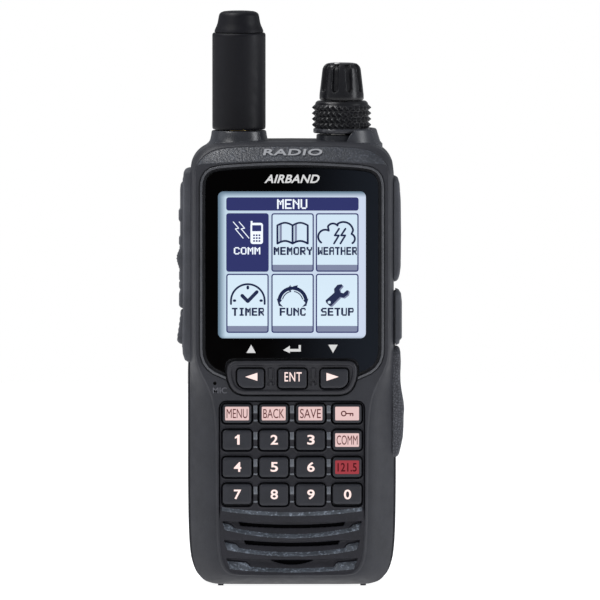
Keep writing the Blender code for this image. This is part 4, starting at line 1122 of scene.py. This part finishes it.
# a spanner
ox, oz = 13.4, 87.0
spanner = [(-3.3, -2.0), (-2.2, -3.1), (-1.7, -3.0), (0.9, -0.4), (2.0, -0.6), (3.2, 0.3), (3.5, 1.5), (2.9, 1.6), (1.9, 0.7), (1.0, 0.9), (0.7, 1.9), (1.6, 2.9), (1.4, 3.4), (0.1, 3.2), (-0.9, 2.0), (-0.8, 0.9), (-3.4, -1.4)]
pale.append([(ox + x + 0.35, oz + z - 0.3) for x, z in spanner])
ink.append([(ox + x, oz + z) for x, z in spanner])
hole = rounded(0.9, 0.9, 0.44, 3, ox - 2.3, oz - 2.0)

lcd_pale = sheet_of("lcd_pale", pale, Y0 - 0.05, LCD_GREY)
lcd_light = sheet_of("lcd_light", light, Y0 - 0.06, LCD_WHITE)
lcd_ink = sheet_of("lcd_ink", ink, Y0 - 0.065, INK)
lcd_marks = sheet_of("lcd_marks", ink_on_light, Y0 - 0.08, NAVY)
lcd_hole = sheet_of("lcd_hole", [hole], Y0 - 0.08, CELL_LIT)
for piece in (screen, lcd_frames, lcd_fills, lcd_greys, lcd_pale, lcd_light, lcd_ink, lcd_marks, lcd_hole):
    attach(piece, BODY)

# White prints on the window: its heading and the three symbols under the display.
heading = lettering("window_heading", "AIRBAND", 16.4, 2.5, WHITE, (0.0, -17.62, 121.75), weight=0.025, shear=0.3, spacing=1.05, depth=0.04)
symbols = sheet_of(
    "window_symbols",
    [
        [(-13.5, 69.95), (-10.75, 69.95), (-12.1, 72.4)],
        [(10.8, 72.4), (13.6, 72.4), (12.2, 69.95)],
        [(-2.6, 70.8), (-0.6, 72.1), (-0.6, 69.9)],
        [(-0.7, 71.15), (2.65, 71.15), (2.65, 70.35), (-0.7, 70.35)],
        [(2.0, 72.3), (2.65, 72.3), (2.65, 70.4), (2.0, 70.4)],
    ],
    -17.62,
    WHITE,
)
for piece in (heading, symbols):
    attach(piece, BODY)

# The word on the sloped top panel.
slope = math.degrees(math.atan2(FACE_Y * -1 - 12.4, 131.3 - 127.1))
top_word = lettering("top_word", "RADIO", 17.6, 2.8, FOIL, (0.2, -14.75, 129.55), weight=0.02, shear=0.12, spacing=1.1, depth=0.10, tilt=slope)
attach(top_word, BODY)

# ================================================================ keys
LABELS = {"key_menu": "MENU", "key_back": "BACK", "key_save": "SAVE", "key_comm": "COMM", "key_emergency": "121.5"}


def key_cap(name, outline, front, back, x, z):
    """A cap with a softly crowned face and rounded edges."""
    steps = [(0.42 * (1 - math.sin(a)), 0.42 * (1 - math.cos(a))) for a in np.linspace(0.0, math.pi / 2, 6)]
    loops = [[(x + u, front + 0.05 + d, z + v) for u, v in inset(outline, i)] for i, d in steps]
    loops = [[(x + u, front, z + v) for u, v in inset(outline, 0.86)], [(x + u, front + 0.015, z + v) for u, v in inset(outline, 0.65)]] + loops
    loops.append([(x + u, back, z + v) for u, v in outline])
    return rings(name + "_cap", loops, [KEY])


for row_index, (names, z, h) in enumerate(zip(KEY_NAMES, KEY_Z, KEY_H)):
    for name, x in zip(names, KEY_X):
        body = name + "_press"
        height = h
        drop = 0.0
        if row_index == 3 and name in ("key_7", "key_0"):
            height = h - 0.45
            drop = 0.22
        cap = key_cap(name, rounded(KEY_W, height, 1.0, 6), KEY_FRONT_Y, -15.9, x, z + drop)
        slot_name = "lit_key" if name in LABELS or name == "key_lock" else "key_rubber"
        slot_name = "red_key" if name == "key_emergency" else slot_name
        stand(cap, body, [name], angle=40)
        y = KEY_FRONT_Y
        if name in LABELS or name == "key_lock":
            red = name == "key_emergency"
            plate = slab(name + "_plate", rounded(7.1, 4.05, 0.28, 4), y - 0.06, y + 0.3, [RED if red else PINK], edge=0.05, seg=2, at=(x, z + 0.05))
            stand(plate, body)
            if name == "key_lock":
                parts = stroke(arc(x - 1.0, z + 0.05, 0.68, 0, 360, 20), 0.34)
                parts += stroke([(x - 0.4, z + 0.05), (x + 1.7, z + 0.05), (x + 1.7, z - 0.6)], 0.34) + stroke([(x + 0.95, z + 0.05), (x + 0.95, z - 0.55)], 0.3)
                mark = sheet_of(name + "_legend", parts, y - 0.075, DARK_RED)
            elif red:
                mark = lettering(name + "_legend", LABELS[name], 5.7, 2.6, RED_DARK, (x, y - 0.07, z + 0.05), weight=0.015, depth=0.03)
            else:
                mark = lettering(name + "_legend", LABELS[name], 6.2, 2.75, DARK_RED, (x, y - 0.07, z + 0.05), weight=0.0, depth=0.03)
        else:
            digit = name[-1]
            if digit == "1":
                one = [(-0.05, 1.47), (0.62, 1.47), (0.62, -1.47), (-0.12, -1.47), (-0.12, 0.55), (-0.8, 0.3), (-0.8, 0.85), (-0.35, 1.08)]
                mark = sheet_of(name + "_legend", [[(x + 0.15 + u, z + 0.15 + v) for u, v in one]], y - 0.03, LEGEND)
            else:
                mark = lettering(name + "_legend", "6" if digit == "9" else digit, 2.2, 2.9, LEGEND, (x + 0.15, y - 0.02, z + 0.15), weight=0.02, depth=0.06)
                if digit == "9":
                    middle = Vector((x + 0.15, y, z + 0.15)) * MM
                    mark.data.transform(Matrix.Translation(middle) @ Matrix.Rotation(math.pi, 4, "Y") @ Matrix.Translation(-middle))
        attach(mark, body)

for name, x, w in NAV_KEYS:
    body = name + "_press"
    cap = key_cap(name, rounded(w, NAV_H, list(NAV_CORNERS[name]), 8), NAV_FRONT_Y, -17.0, x, NAV_Z)
    stand(cap, body, [name], angle=40)
    y = NAV_FRONT_Y - 0.03
    if name == "key_enter":
        mark = lettering(name + "_legend", "ENT", 5.1, 2.75, LEGEND, (x + 0.2, NAV_FRONT_Y - 0.01, NAV_Z + 0.55), weight=0.008, spacing=1.12, depth=0.06)
    else:
        s = -1 if name == "key_left" else 1
        cx = x + (0.3 if s < 0 else -0.6)
        mark = sheet_of(name + "_legend", [[(cx + s * 1.9, NAV_Z + 0.55), (cx - s * 1.75, NAV_Z + 1.75), (cx - s * 1.75, NAV_Z - 0.65)]], y, LEGEND)
    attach(mark, body)

# ================================================================ casing, rear half
PACK_OUT = below(REAR, BAY_Z - SEAM)


def back_rounding(outline, start, name, finish, lip=0.0):
    loops = [[(x, start, z) for x, z in inset(outline, lip)]]
    if lip:
        loops.append([(x, start + lip, z) for x, z in outline])
    for u in (0.0, 0.12, 0.26, 0.4, 0.54, 0.66, 0.77, 0.86, 0.93, 0.98, 1.0):
        d = 3.8 * (1 - math.sqrt(max(0.0, 1 - u * u)))
        loops.append([(x, 12.0 + 6.6 * u, z) for x, z in inset(outline, d)])
    return rings(name, loops, finish)


case_rear = rings(
    "case_rear",
    [
        [(x, PART_Y + SEAM, z) for x, z in inset(REAR, 0.12)],
        [(x, PART_Y + SEAM + 0.12, z) for x, z in REAR],
        [(x, BAY_Y - 0.12, z) for x, z in REAR],
        [(x, BAY_Y, z) for x, z in inset(REAR, 0.12)],
    ],
    [CHASSIS],
)
boolean(
    case_rear,
    "UNION",
    [
        boolean(
            back_rounding(REAR, 2.0, "shoulder", []),
            "DIFFERENCE",
            [block("below_shoulder", (-40, -20, -10), (40, 40, BAY_Z + SEAM), edge=0)],
        ),
        top_fitting("collar.r", COLLAR, ANT_X, "rear"),
        top_fitting("boss.r", BOSS, KNOB_X, "rear"),
        top_fitting("guard.r", GUARD, KNOB_X, "rear", True),
    ],
)
boolean(
    case_rear,
    "DIFFERENCE",
    [
        rod("hole.a", 3.5, (ANT_X, TOP_Y, 124), (ANT_X, TOP_Y, 140)),
        rod("hole.k", 4.6, (KNOB_X, TOP_Y, 124), (KNOB_X, TOP_Y, 140)),
        block("contact_cut", (-8.2, 2.0, 92.8), (8.2, 9.0, 99.2), edge=0),
    ]
    + [rod(f"sink.{i}", 2.3, (x, 4.2, z), (x, 9.0, z)) for i, (x, z) in enumerate(((-26.2, 14), (26.2, 14), (-26.2, 101.5), (26.2, 101.5)))]
    + [block(f"bay_rib.{i}", (-20, BAY_Y - 0.5, 18 + 8 * i), (20, 9.0, 20.5 + 8 * i), edge=0) for i in range(9)],
)
stand(case_rear, BODY, ["rear_chassis"], angle=28)

# ================================================================ side fittings
def pill_height(outline, top, radius, r_power=2.0):
    """A height that falls off in a round edge of a given radius all along an outline."""
    def height(u, v):
        d = np.clip(edge_distance(u, v, outline) / radius, 0, 1)
        return radius * (1 - np.sqrt(np.clip(1 - (1 - d) ** r_power, 0, 1)))
    return height


def profile_at(points):
    """Height along v from a list of (v, height)."""
    points = sorted(points)
    vs, hs = [p[0] for p in points], [p[1] for p in points]
    return lambda v: np.interp(v, vs, hs)


def side_piece(name, y0, y1, z0, z1, corner, profile, radius, finish, place, base, nu, nv, extra=None, crown=0.25, bottom=None):
    outline = rounded(y1 - y0, z1 - z0, corner, 6, (y0 + y1) / 2, (z0 + z1) / 2)
    along = profile_at(profile)
    fall = pill_height(outline, 0, radius)

    def height(u, v):
        h = along(v) - fall(u, v)
        c = (u - (y0 + y1) / 2) / ((y1 - y0) / 2)
        h = h - crown * c**2
        if extra is not None:
            h = h + extra(u, v, edge_distance(u, v, outline))
        return np.maximum(h, base + 0.02)

    return field(name, outline, height, finish, nu, nv, base, place, dense=0.5)


# push-to-talk surround, a frame with a window for its two keys
def frame_extra(u, v, d):
    sd = box_sd(u, v, -4.7, 96.15, 9.0, 49.1, 1.4)
    return -3.0 * (1 - smooth(-0.05, 0.1, sd)) + 0.12 * (1 - smooth(0.15, 0.5, np.abs(sd - 0.3)))


ptt_surround = side_piece(
    "ptt_surround", -11.2, 2.2, 66.6, 124.3, 2.2,
    [(66.6, 31.2), (67.4, 31.9), (69.3, 32.5), (71.2, 32.6), (80.0, 32.4), (121.0, 32.4), (122.8, 32.25), (123.9, 31.7), (124.3, 31.2)],
    0.9, [RUBBER], to_left, 29.9, 110, 420, frame_extra, crown=0.0,
)
stand(ptt_surround, BODY, ["ptt_frame"], angle=48, weighted=False)

PTT_PROFILE = [
    (120.3, 32.7), (119.4, 33.15), (118.0, 33.3), (112.4, 33.3), (111.6, 33.75), (109.0, 33.75), (108.2, 33.3),
    (104.3, 33.3), (103.6, 33.65), (101.8, 33.65), (101.2, 33.4), (99.8, 33.7), (98.5, 34.28), (97.4, 34.4), (96.3, 34.2),
    (95.2, 33.85), (93.9, 33.5), (93.2, 33.62), (91.2, 33.62), (90.7, 33.35), (90.1, 33.62), (88.8, 33.62), (88.1, 33.3),
    (86.8, 33.65), (83.4, 33.65), (82.9, 33.3), (82.6, 32.9),
]


def serrations(u, v, d):
    """Fine cross ribs on the middle of the hump."""
    zone = smooth(93.0, 94.2, v) * (1 - smooth(100.3, 101.3, v)) * smooth(0.5, 1.2, d)
    return -0.14 * zone * (0.5 + 0.5 * np.cos(v * math.tau / 0.85))


ptt_pad = side_piece("ptt_pad", -8.9, -0.5, 82.6, 120.3, 1.3, PTT_PROFILE, 0.55, [RUBBER], to_left, 31.4, 80, 480, serrations, crown=0.2)
stand(ptt_pad, "ptt_button_press", ["ptt_button"], angle=48, weighted=False)

monitor_pad = side_piece(
    "monitor_pad", -8.9, -0.5, 72.0, 82.1, 1.2,
    [(82.1, 33.1), (81.2, 33.25), (77.0, 33.75), (73.6, 34.28), (72.8, 34.15), (72.0, 33.5)],
    0.5, [RUBBER], to_left, 31.7, 80, 130,
    lambda u, v, d: -0.15 * smooth(0.6, 1.2, d) * (0.5 + 0.5 * np.cos((v - 77) * math.tau / 1.6)), crown=0.2,
)
stand(monitor_pad, "monitor_button_press", ["monitor_button"], angle=48, weighted=False)

mic_cover = side_piece(
    "mic_cover", -11.2, 2.2, 90.7, 121.9, 2.0,
    [(90.7, 31.3), (91.6, 31.75), (92.8, 32.1), (95.0, 32.4), (105.0, 32.5), (114.5, 32.4), (119.6, 32.05), (121.2, 31.6), (121.9, 31.1)],
    0.8, [RUBBER], to_right, 30.34, 100, 230,
    lambda u, v, d: -0.25 * (1 - smooth(0.08, 0.24, np.abs(box_sd(u, v, -5.2, 107.0, 7.6, 20.5, 1.5)))) , crown=0.15,
)
mic_plug = block("mic_cover_plug", (29.3, -9.0, 104.7), (30.9, -3.4, 119.3), [RUBBER], 0.5)
stand(mic_cover, "mic_jack_cover_flap", ["mic_jack_cover"], angle=48, weighted=False)
stand(mic_plug, "mic_jack_cover_flap")

dc_cover = side_piece(
    "dc_cover", -11.4, 2.2, 71.8, 88.3, 1.8,
    [(71.8, 31.6), (72.3, 32.0), (73.2, 32.15), (73.9, 32.75), (84.5, 32.75), (86.8, 32.5), (87.8, 31.9), (88.3, 31.3)],
    0.7, [RUBBER], to_right, 30.78, 100, 150,
    lambda u, v, d: -0.22 * (1 - smooth(0.08, 0.24, np.abs(np.hypot(u + 6.2, v - 80.0) - 3.1))), crown=0.15,
)
dc_skirt = block("dc_cover_skirt", (30.34, -10.9, 72.3), (31.3, -1.25, 87.8), [RUBBER], 0.35)
stand(dc_skirt, "dc_jack_cover_flap")
dc_plug = block("dc_cover_plug", (29.3, -8.8, 77.3), (31.2, -3.8, 82.7), [RUBBER], 0.5)
stand(dc_cover, "dc_jack_cover_flap", ["dc_jack_cover"], angle=48, weighted=False)
stand(dc_plug, "dc_jack_cover_flap")

grip_pad = side_piece(
    "grip_pad", -11.2, 2.2, 38.3, 71.1, 2.4,
    [(38.3, 31.5), (39.6, 32.0), (41.4, 32.45), (44.2, 33.05), (47.2, 33.25), (50.5, 33.3), (52.6, 33.45), (54.5, 33.3), (56.2, 33.0),
     (58.6, 32.6), (60.6, 32.35), (63.0, 32.3), (66.5, 32.45), (69.5, 32.3), (71.1, 31.9)],
    0.9, [LEATHER], to_right, 29.9, 110, 260, crown=0.1,
)
stand(grip_pad, BODY, ["side_grip_pad"], angle=48, weighted=False)

# ================================================================ knobs
FLUTES = 9


def fluted(a, z, r):
    if z < 145.6 or r < 4.6:
        return r
    k = (a * FLUTES / math.tau + 0.5 - 0.28) % 1.0 - 0.5
    across = abs(k) * math.tau / FLUTES * r
    low = 146.6
    half = 1.05
    gap = max(0.0, low + half - z)
    reach = math.sqrt(max(0.0, half * half - gap * gap)) if z < low + half else half
    if reach <= 0:
        return r
    return r - 0.95 * float(1 - smooth(reach - 0.42, reach + 0.06, across))


KNOB_PROFILE = [(0.01, 155.15), (2.2, 155.2), (3.6, 155.15), (4.5, 154.95), (5.0, 154.6), (5.4, 154.1), (5.66, 153.5), (5.78, 152.8)]
KNOB_PROFILE += [(5.78 + (6.5 - 5.78) * t, 152.8 - 6.3 * t) for t in np.linspace(0.04, 1, 44)]
KNOB_PROFILE += [(6.58, 145.9), (6.6, 145.2), (6.6, 144.5), (6.45, 144.2), (1.8, 144.2), (1.8, 152.2), (0.01, 152.2)]
volume = lathe("volume_cap", KNOB_PROFILE, [KNOB], (KNOB_X, TOP_Y), 288, fluted)
stand(volume, "volume_control", ["volume_knob"], angle=55, weighted=False)
pointer = slab("volume_pointer", rounded(0.55, 2.6, 0.25, 4), -0.12, 0.12, [WHITE], edge=0.05, seg=2)
pointer.data.transform(Matrix.Translation(Vector((KNOB_X - 1.4, TOP_Y - 3.1, 155.2)) * MM) @ Matrix.Rotation(-0.45, 4, "Z") @ Matrix.Rotation(-math.pi / 2, 4, "X"))
stand(pointer, "volume_control")

TEETH, TOOTH_ROWS, TOOTH_TOP, TOOTH_PITCH = 30, 4, 142.75, 1.72


def knurled(a, z, r):
    if not (TOOTH_TOP - TOOTH_ROWS * TOOTH_PITCH - 0.1 < z < TOOTH_TOP + 0.1) or r < 7.6:
        return r
    v = (TOOTH_TOP - z) / TOOTH_PITCH
    row = math.floor(v)
    if row < 0 or row >= TOOTH_ROWS:
        return r
    dv = abs(v - row - 0.5) * 2
    u = (a * TEETH / math.tau + 0.33 * row) % 1.0
    du = abs(u - 0.5) * 2
    return r + 0.95 * max(0.0, 1 - max(dv, du))


RING_PROFILE = [(3.3, 143.9), (6.9, 143.9), (7.2, 143.85), (7.55, 143.6), (7.8, 143.25), (7.9, 142.85)]
RING_PROFILE += [(7.95, z) for z in np.arange(TOOTH_TOP, TOOTH_TOP - TOOTH_ROWS * TOOTH_PITCH - 0.01, -TOOTH_PITCH / 12)]
RING_PROFILE += [(8.05, 135.75), (8.35, 135.6), (8.45, 135.4), (8.45, 134.6), (8.3, 134.35), (6.3, 134.3), (6.3, 137.4), (3.3, 137.4)]
squelch = tube(
    "squelch_grip", RING_PROFILE, [KNOB, SKIRT_PAINTED_HIGHLIGHT], (KNOB_X, TOP_Y), 360, knurled,
    lambda k: int(RING_PROFILE[k][1] < 135.9 and RING_PROFILE[k][0] > 8.0),
)
stand(squelch, "squelch_control", ["squelch_ring"], angle=180, weighted=False)

# ================================================================ antenna
SLEEVE_PROFILE = [(7.35, 164.2), (7.6, 164.15), (7.82, 163.95), (7.95, 163.6)]
SLEEVE_PROFILE += [(7.95, z) for z in np.linspace(163.0, 136.4, 24)]
SLEEVE_PROFILE += [(7.9, 135.75), (7.75, 135.5), (7.4, 135.4), (5.4, 135.4), (5.4, 164.2)]
antenna = tube("antenna_tube", SLEEVE_PROFILE, [ANTENNA], (ANT_X, TOP_Y), 128)
stand(antenna, "antenna", ["antenna_sleeve"], angle=40)
CAP_PROFILE = [(0.01, 170.7), (3.4, 170.68), (4.6, 170.55), (5.35, 170.25), (5.8, 169.8), (6.0, 169.2), (6.35, 167.2), (6.6, 166.4), (7.0, 165.5), (7.25, 164.9), (7.3, 164.4), (5.1, 164.4), (5.1, 163.0), (0.01, 163.0)]
cap = lathe("antenna_end", CAP_PROFILE, [ANTENNA], (ANT_X, TOP_Y), 128)
stand(cap, "antenna", ["antenna_cap"], angle=40)

# ================================================================ battery
pack = back_rounding(REAR, 8.5, "pack_shell", [PACK], lip=0.15)
boolean(pack, "DIFFERENCE", [block("above_pack", (-40, -20, BAY_Z - SEAM), (40, 40, 200), edge=0)])
boolean(
    pack,
    "UNION",
    [rod(f"foot.r{i}", 0.85, (x, 11, 0.0), (x, 11, 2.0)) for i, x in enumerate((-21.2, 21.2))]
    + [block(f"grip.{i}", (-21, 18.2, 28.0 + 4.4 * i), (21, 18.95, 29.7 + 4.4 * i), edge=0.3) for i in range(5)],
)
boolean(
    pack,
    "DIFFERENCE",
    [
        slab("latch_cut", rounded(24.8, 12.8, 1.5, 6, cy=14.0), 16.6, 22.0),
        block("tongue_cut", (-3.3, 14.0, 9.0), (3.3, 18.0, 17.2), edge=0),
        slab("label_cut", rounded(40.0, 38.0, 2.0, 6, cy=76.0), 18.25, 22.0),
    ],
)
stand(pack, "battery_pack", ["battery_case"], angle=28)
lid = rings(
    "pack_lid",
    [
        [(x, BAY_Y + 0.3, z) for x, z in inset(PACK_OUT, 0.25)],
        [(x, BAY_Y + 0.5, z) for x, z in PACK_OUT],
        [(x, 8.05, z) for x, z in PACK_OUT],
        [(x, 8.2, z) for x, z in inset(PACK_OUT, 0.15)],
    ],
    [PACK],
)
stand(lid, "battery_pack", ["battery_lid"])

# Dark gaskets, a little inside the seams.
gaskets = (
    ("case_gasket", slab("case_gasket", inset(FULL, 0.4), PART_Y - 0.2, PART_Y + 0.2, [SEAL]), BODY),
    ("pack_gasket", slab("pack_gasket", inset(PACK_OUT, 0.4), 8.1, 8.7, [SEAL]), "battery_pack"),
    ("bay_gasket", slab("bay_gasket", inset(PACK_OUT, 0.4), 6.215, 6.7, [SEAL], edge=0.01), "battery_pack"),
    ("shoulder_gasket", block("shoulder_gasket", (-28.6, 6.3, 105.74), (28.6, 16.0, 106.1), [SEAL], 0.05), BODY),
)
for gasket_name, gasket, gasket_body in gaskets:
    stand(gasket, gasket_body, weighted=False)
latch = block("latch_slide", (-12.0, 16.9, 11.2), (12.0, 18.6, 20.0), [KNOB], 0.5)
boolean(latch, "UNION", [block(f"latch_rib.{i}", (-9.5, 18.2, 12.6 + 1.5 * i), (9.5, 19.15, 13.3 + 1.5 * i), edge=0.25) for i in range(4)]
        + [block("latch_tongue", (-3.0, 14.4, 12.6), (3.0, 17.5, 16.8), edge=0.2)])
stand(latch, "latch", ["battery_latch"], angle=35)
for i, x in enumerate((-9.0, -3.0, 3.0, 9.0)):
    pad = slab(f"charge_pad_{i}", rounded(3.4, 2.2, 0.5, 5), -0.08, 0.2, [BRASS], edge=0.06, seg=2)
    pad.data.transform(Matrix.Translation(Vector((x, 18.6, 23.6)) * MM) @ Matrix.Rotation(math.pi, 4, "Z"))
    stand(pad, "battery_pack")
for i, x in enumerate((-5.0, 0.0, 5.0)):
    pad = slab(f"pack_pad_{i}", rounded(2.6, 4.2, 0.5, 5), -0.04, 0.2, [BRASS], edge=0.03, seg=2, at=(x, 96.0))
    pad.data.transform(Matrix.Translation(Vector((0, BAY_Y + 0.12, 0)) * MM))
    stand(pad, "battery_pack")

# ================================================================ pieces kept from the CAD
KEPT = {
    SEAL: ("key_mat", "speaker_mesh", "case_seal"),
    STEEL: ("speaker", "microphone", "control_body", "control_nut", "volume_shaft", "squelch_shaft",
            "case_screw_1", "case_screw_2", "case_screw_3", "case_screw_4"),
    BOARD: ("main_board", "side_switch_board"),
    SOCKET: ("jack_block", "dc_jack", "battery_contacts", "lcd_module"),
    BRASS: ("antenna_jack", "antenna_coupling", "antenna_coil"),
    SLEEVE: ("battery_cell_lower", "battery_cell_upper"),
}
for finish, names in KEPT.items():
    for name in names:
        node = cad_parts[name]
        for place_of in node.material_slots:
            place_of.link = "OBJECT"
            place_of.material = finish

# ================================================================ floor, light and camera
def plain(name, colour, rough, glow=0.0):
    n = Nodes(name)
    n.set(Base_Color=colour, Roughness=rough)
    if glow:
        n.set(Emission_Color=(1.0, 1.0, 1.0), Emission_Strength=glow)
    n.shader.inputs["Specular IOR Level"].default_value = 0.1
    return n.material


bm = bmesh.new()
bmesh.ops.create_grid(bm, x_segments=2, y_segments=2, size=0.9)
mesh = bpy.data.meshes.new("floor")
bm.to_mesh(mesh)
bm.free()
floor = as_object("floor", mesh, [plain("floor_pale", (0.55, 0.55, 0.56), 0.8, 0.93)])

world = bpy.context.scene.world or bpy.data.worlds.new("studio")
bpy.context.scene.world = world
world.use_nodes = True
tree = world.node_tree
dim = tree.nodes["Background"]
dim.inputs["Color"].default_value = (0.92, 0.95, 1.0, 1.0)
dim.inputs["Strength"].default_value = 0.30
white = tree.nodes.new("ShaderNodeBackground")
white.inputs["Color"].default_value = (1.0, 1.0, 1.0, 1.0)
either = tree.nodes.new("ShaderNodeMixShader")
ray = tree.nodes.new("ShaderNodeLightPath")
tree.links.new(ray.outputs["Is Camera Ray"], either.inputs[0])
tree.links.new(dim.outputs[0], either.inputs[1])
tree.links.new(white.outputs[0], either.inputs[2])
tree.links.new(either.outputs[0], tree.nodes["World Output"].inputs["Surface"])


def area(name, at, toward, size, watts, colour=(1, 1, 1)):
    data = bpy.data.lights.new(name, "AREA")
    data.shape = "RECTANGLE"
    data.size, data.size_y = size
    data.energy = watts
    data.color = colour
    lamp_object = bpy.data.objects.new(name, data)
    bpy.context.scene.collection.objects.link(lamp_object)
    lamp_object.location = at
    lamp_object.visible_camera = False
    lamp_object.rotation_euler = (Vector(toward) - Vector(at)).to_track_quat("-Z", "Y").to_euler()
    return lamp_object


CENTRE = (0.0, 0.0, 0.08)
area("key_light", (-0.50, -0.45, 0.62), CENTRE, (0.35, 0.35), 1.6)
area("top_light", (-0.24, 0.02, 0.70), CENTRE, (0.26, 0.26), 1.5)
area("near_light", (-0.11, 0.0, 0.34), (-0.02, -0.01, 0.13), (0.08, 0.08), 0.13)
area("right_light", (0.62, -0.20, 0.25), CENTRE, (0.2, 0.5), 1.9, (0.95, 0.97, 1.0))
area("left_light", (-0.62, -0.10, 0.12), CENTRE, (0.2, 0.5), 0.3, (0.95, 0.97, 1.0))

ELEVATION = math.radians(3.5)
LENS_MM = 1000.0
TARGET = Vector((2.4, -17.5, 85.7)) * MM
distance = 0.1782 / (36.0 / LENS_MM)
view = Vector((0.0, -math.cos(ELEVATION), math.sin(ELEVATION)))
camera_data = bpy.data.cameras.new("camera")
camera_data.lens = LENS_MM
camera_data.sensor_width = 36.0
camera = bpy.data.objects.new("camera", camera_data)
bpy.context.scene.collection.objects.link(camera)
camera.location = TARGET + view * distance
camera.rotation_euler = (-view).to_track_quat("-Z", "Y").to_euler()
bpy.context.scene.camera = camera
bpy.context.scene.view_settings.view_transform = "Standard"
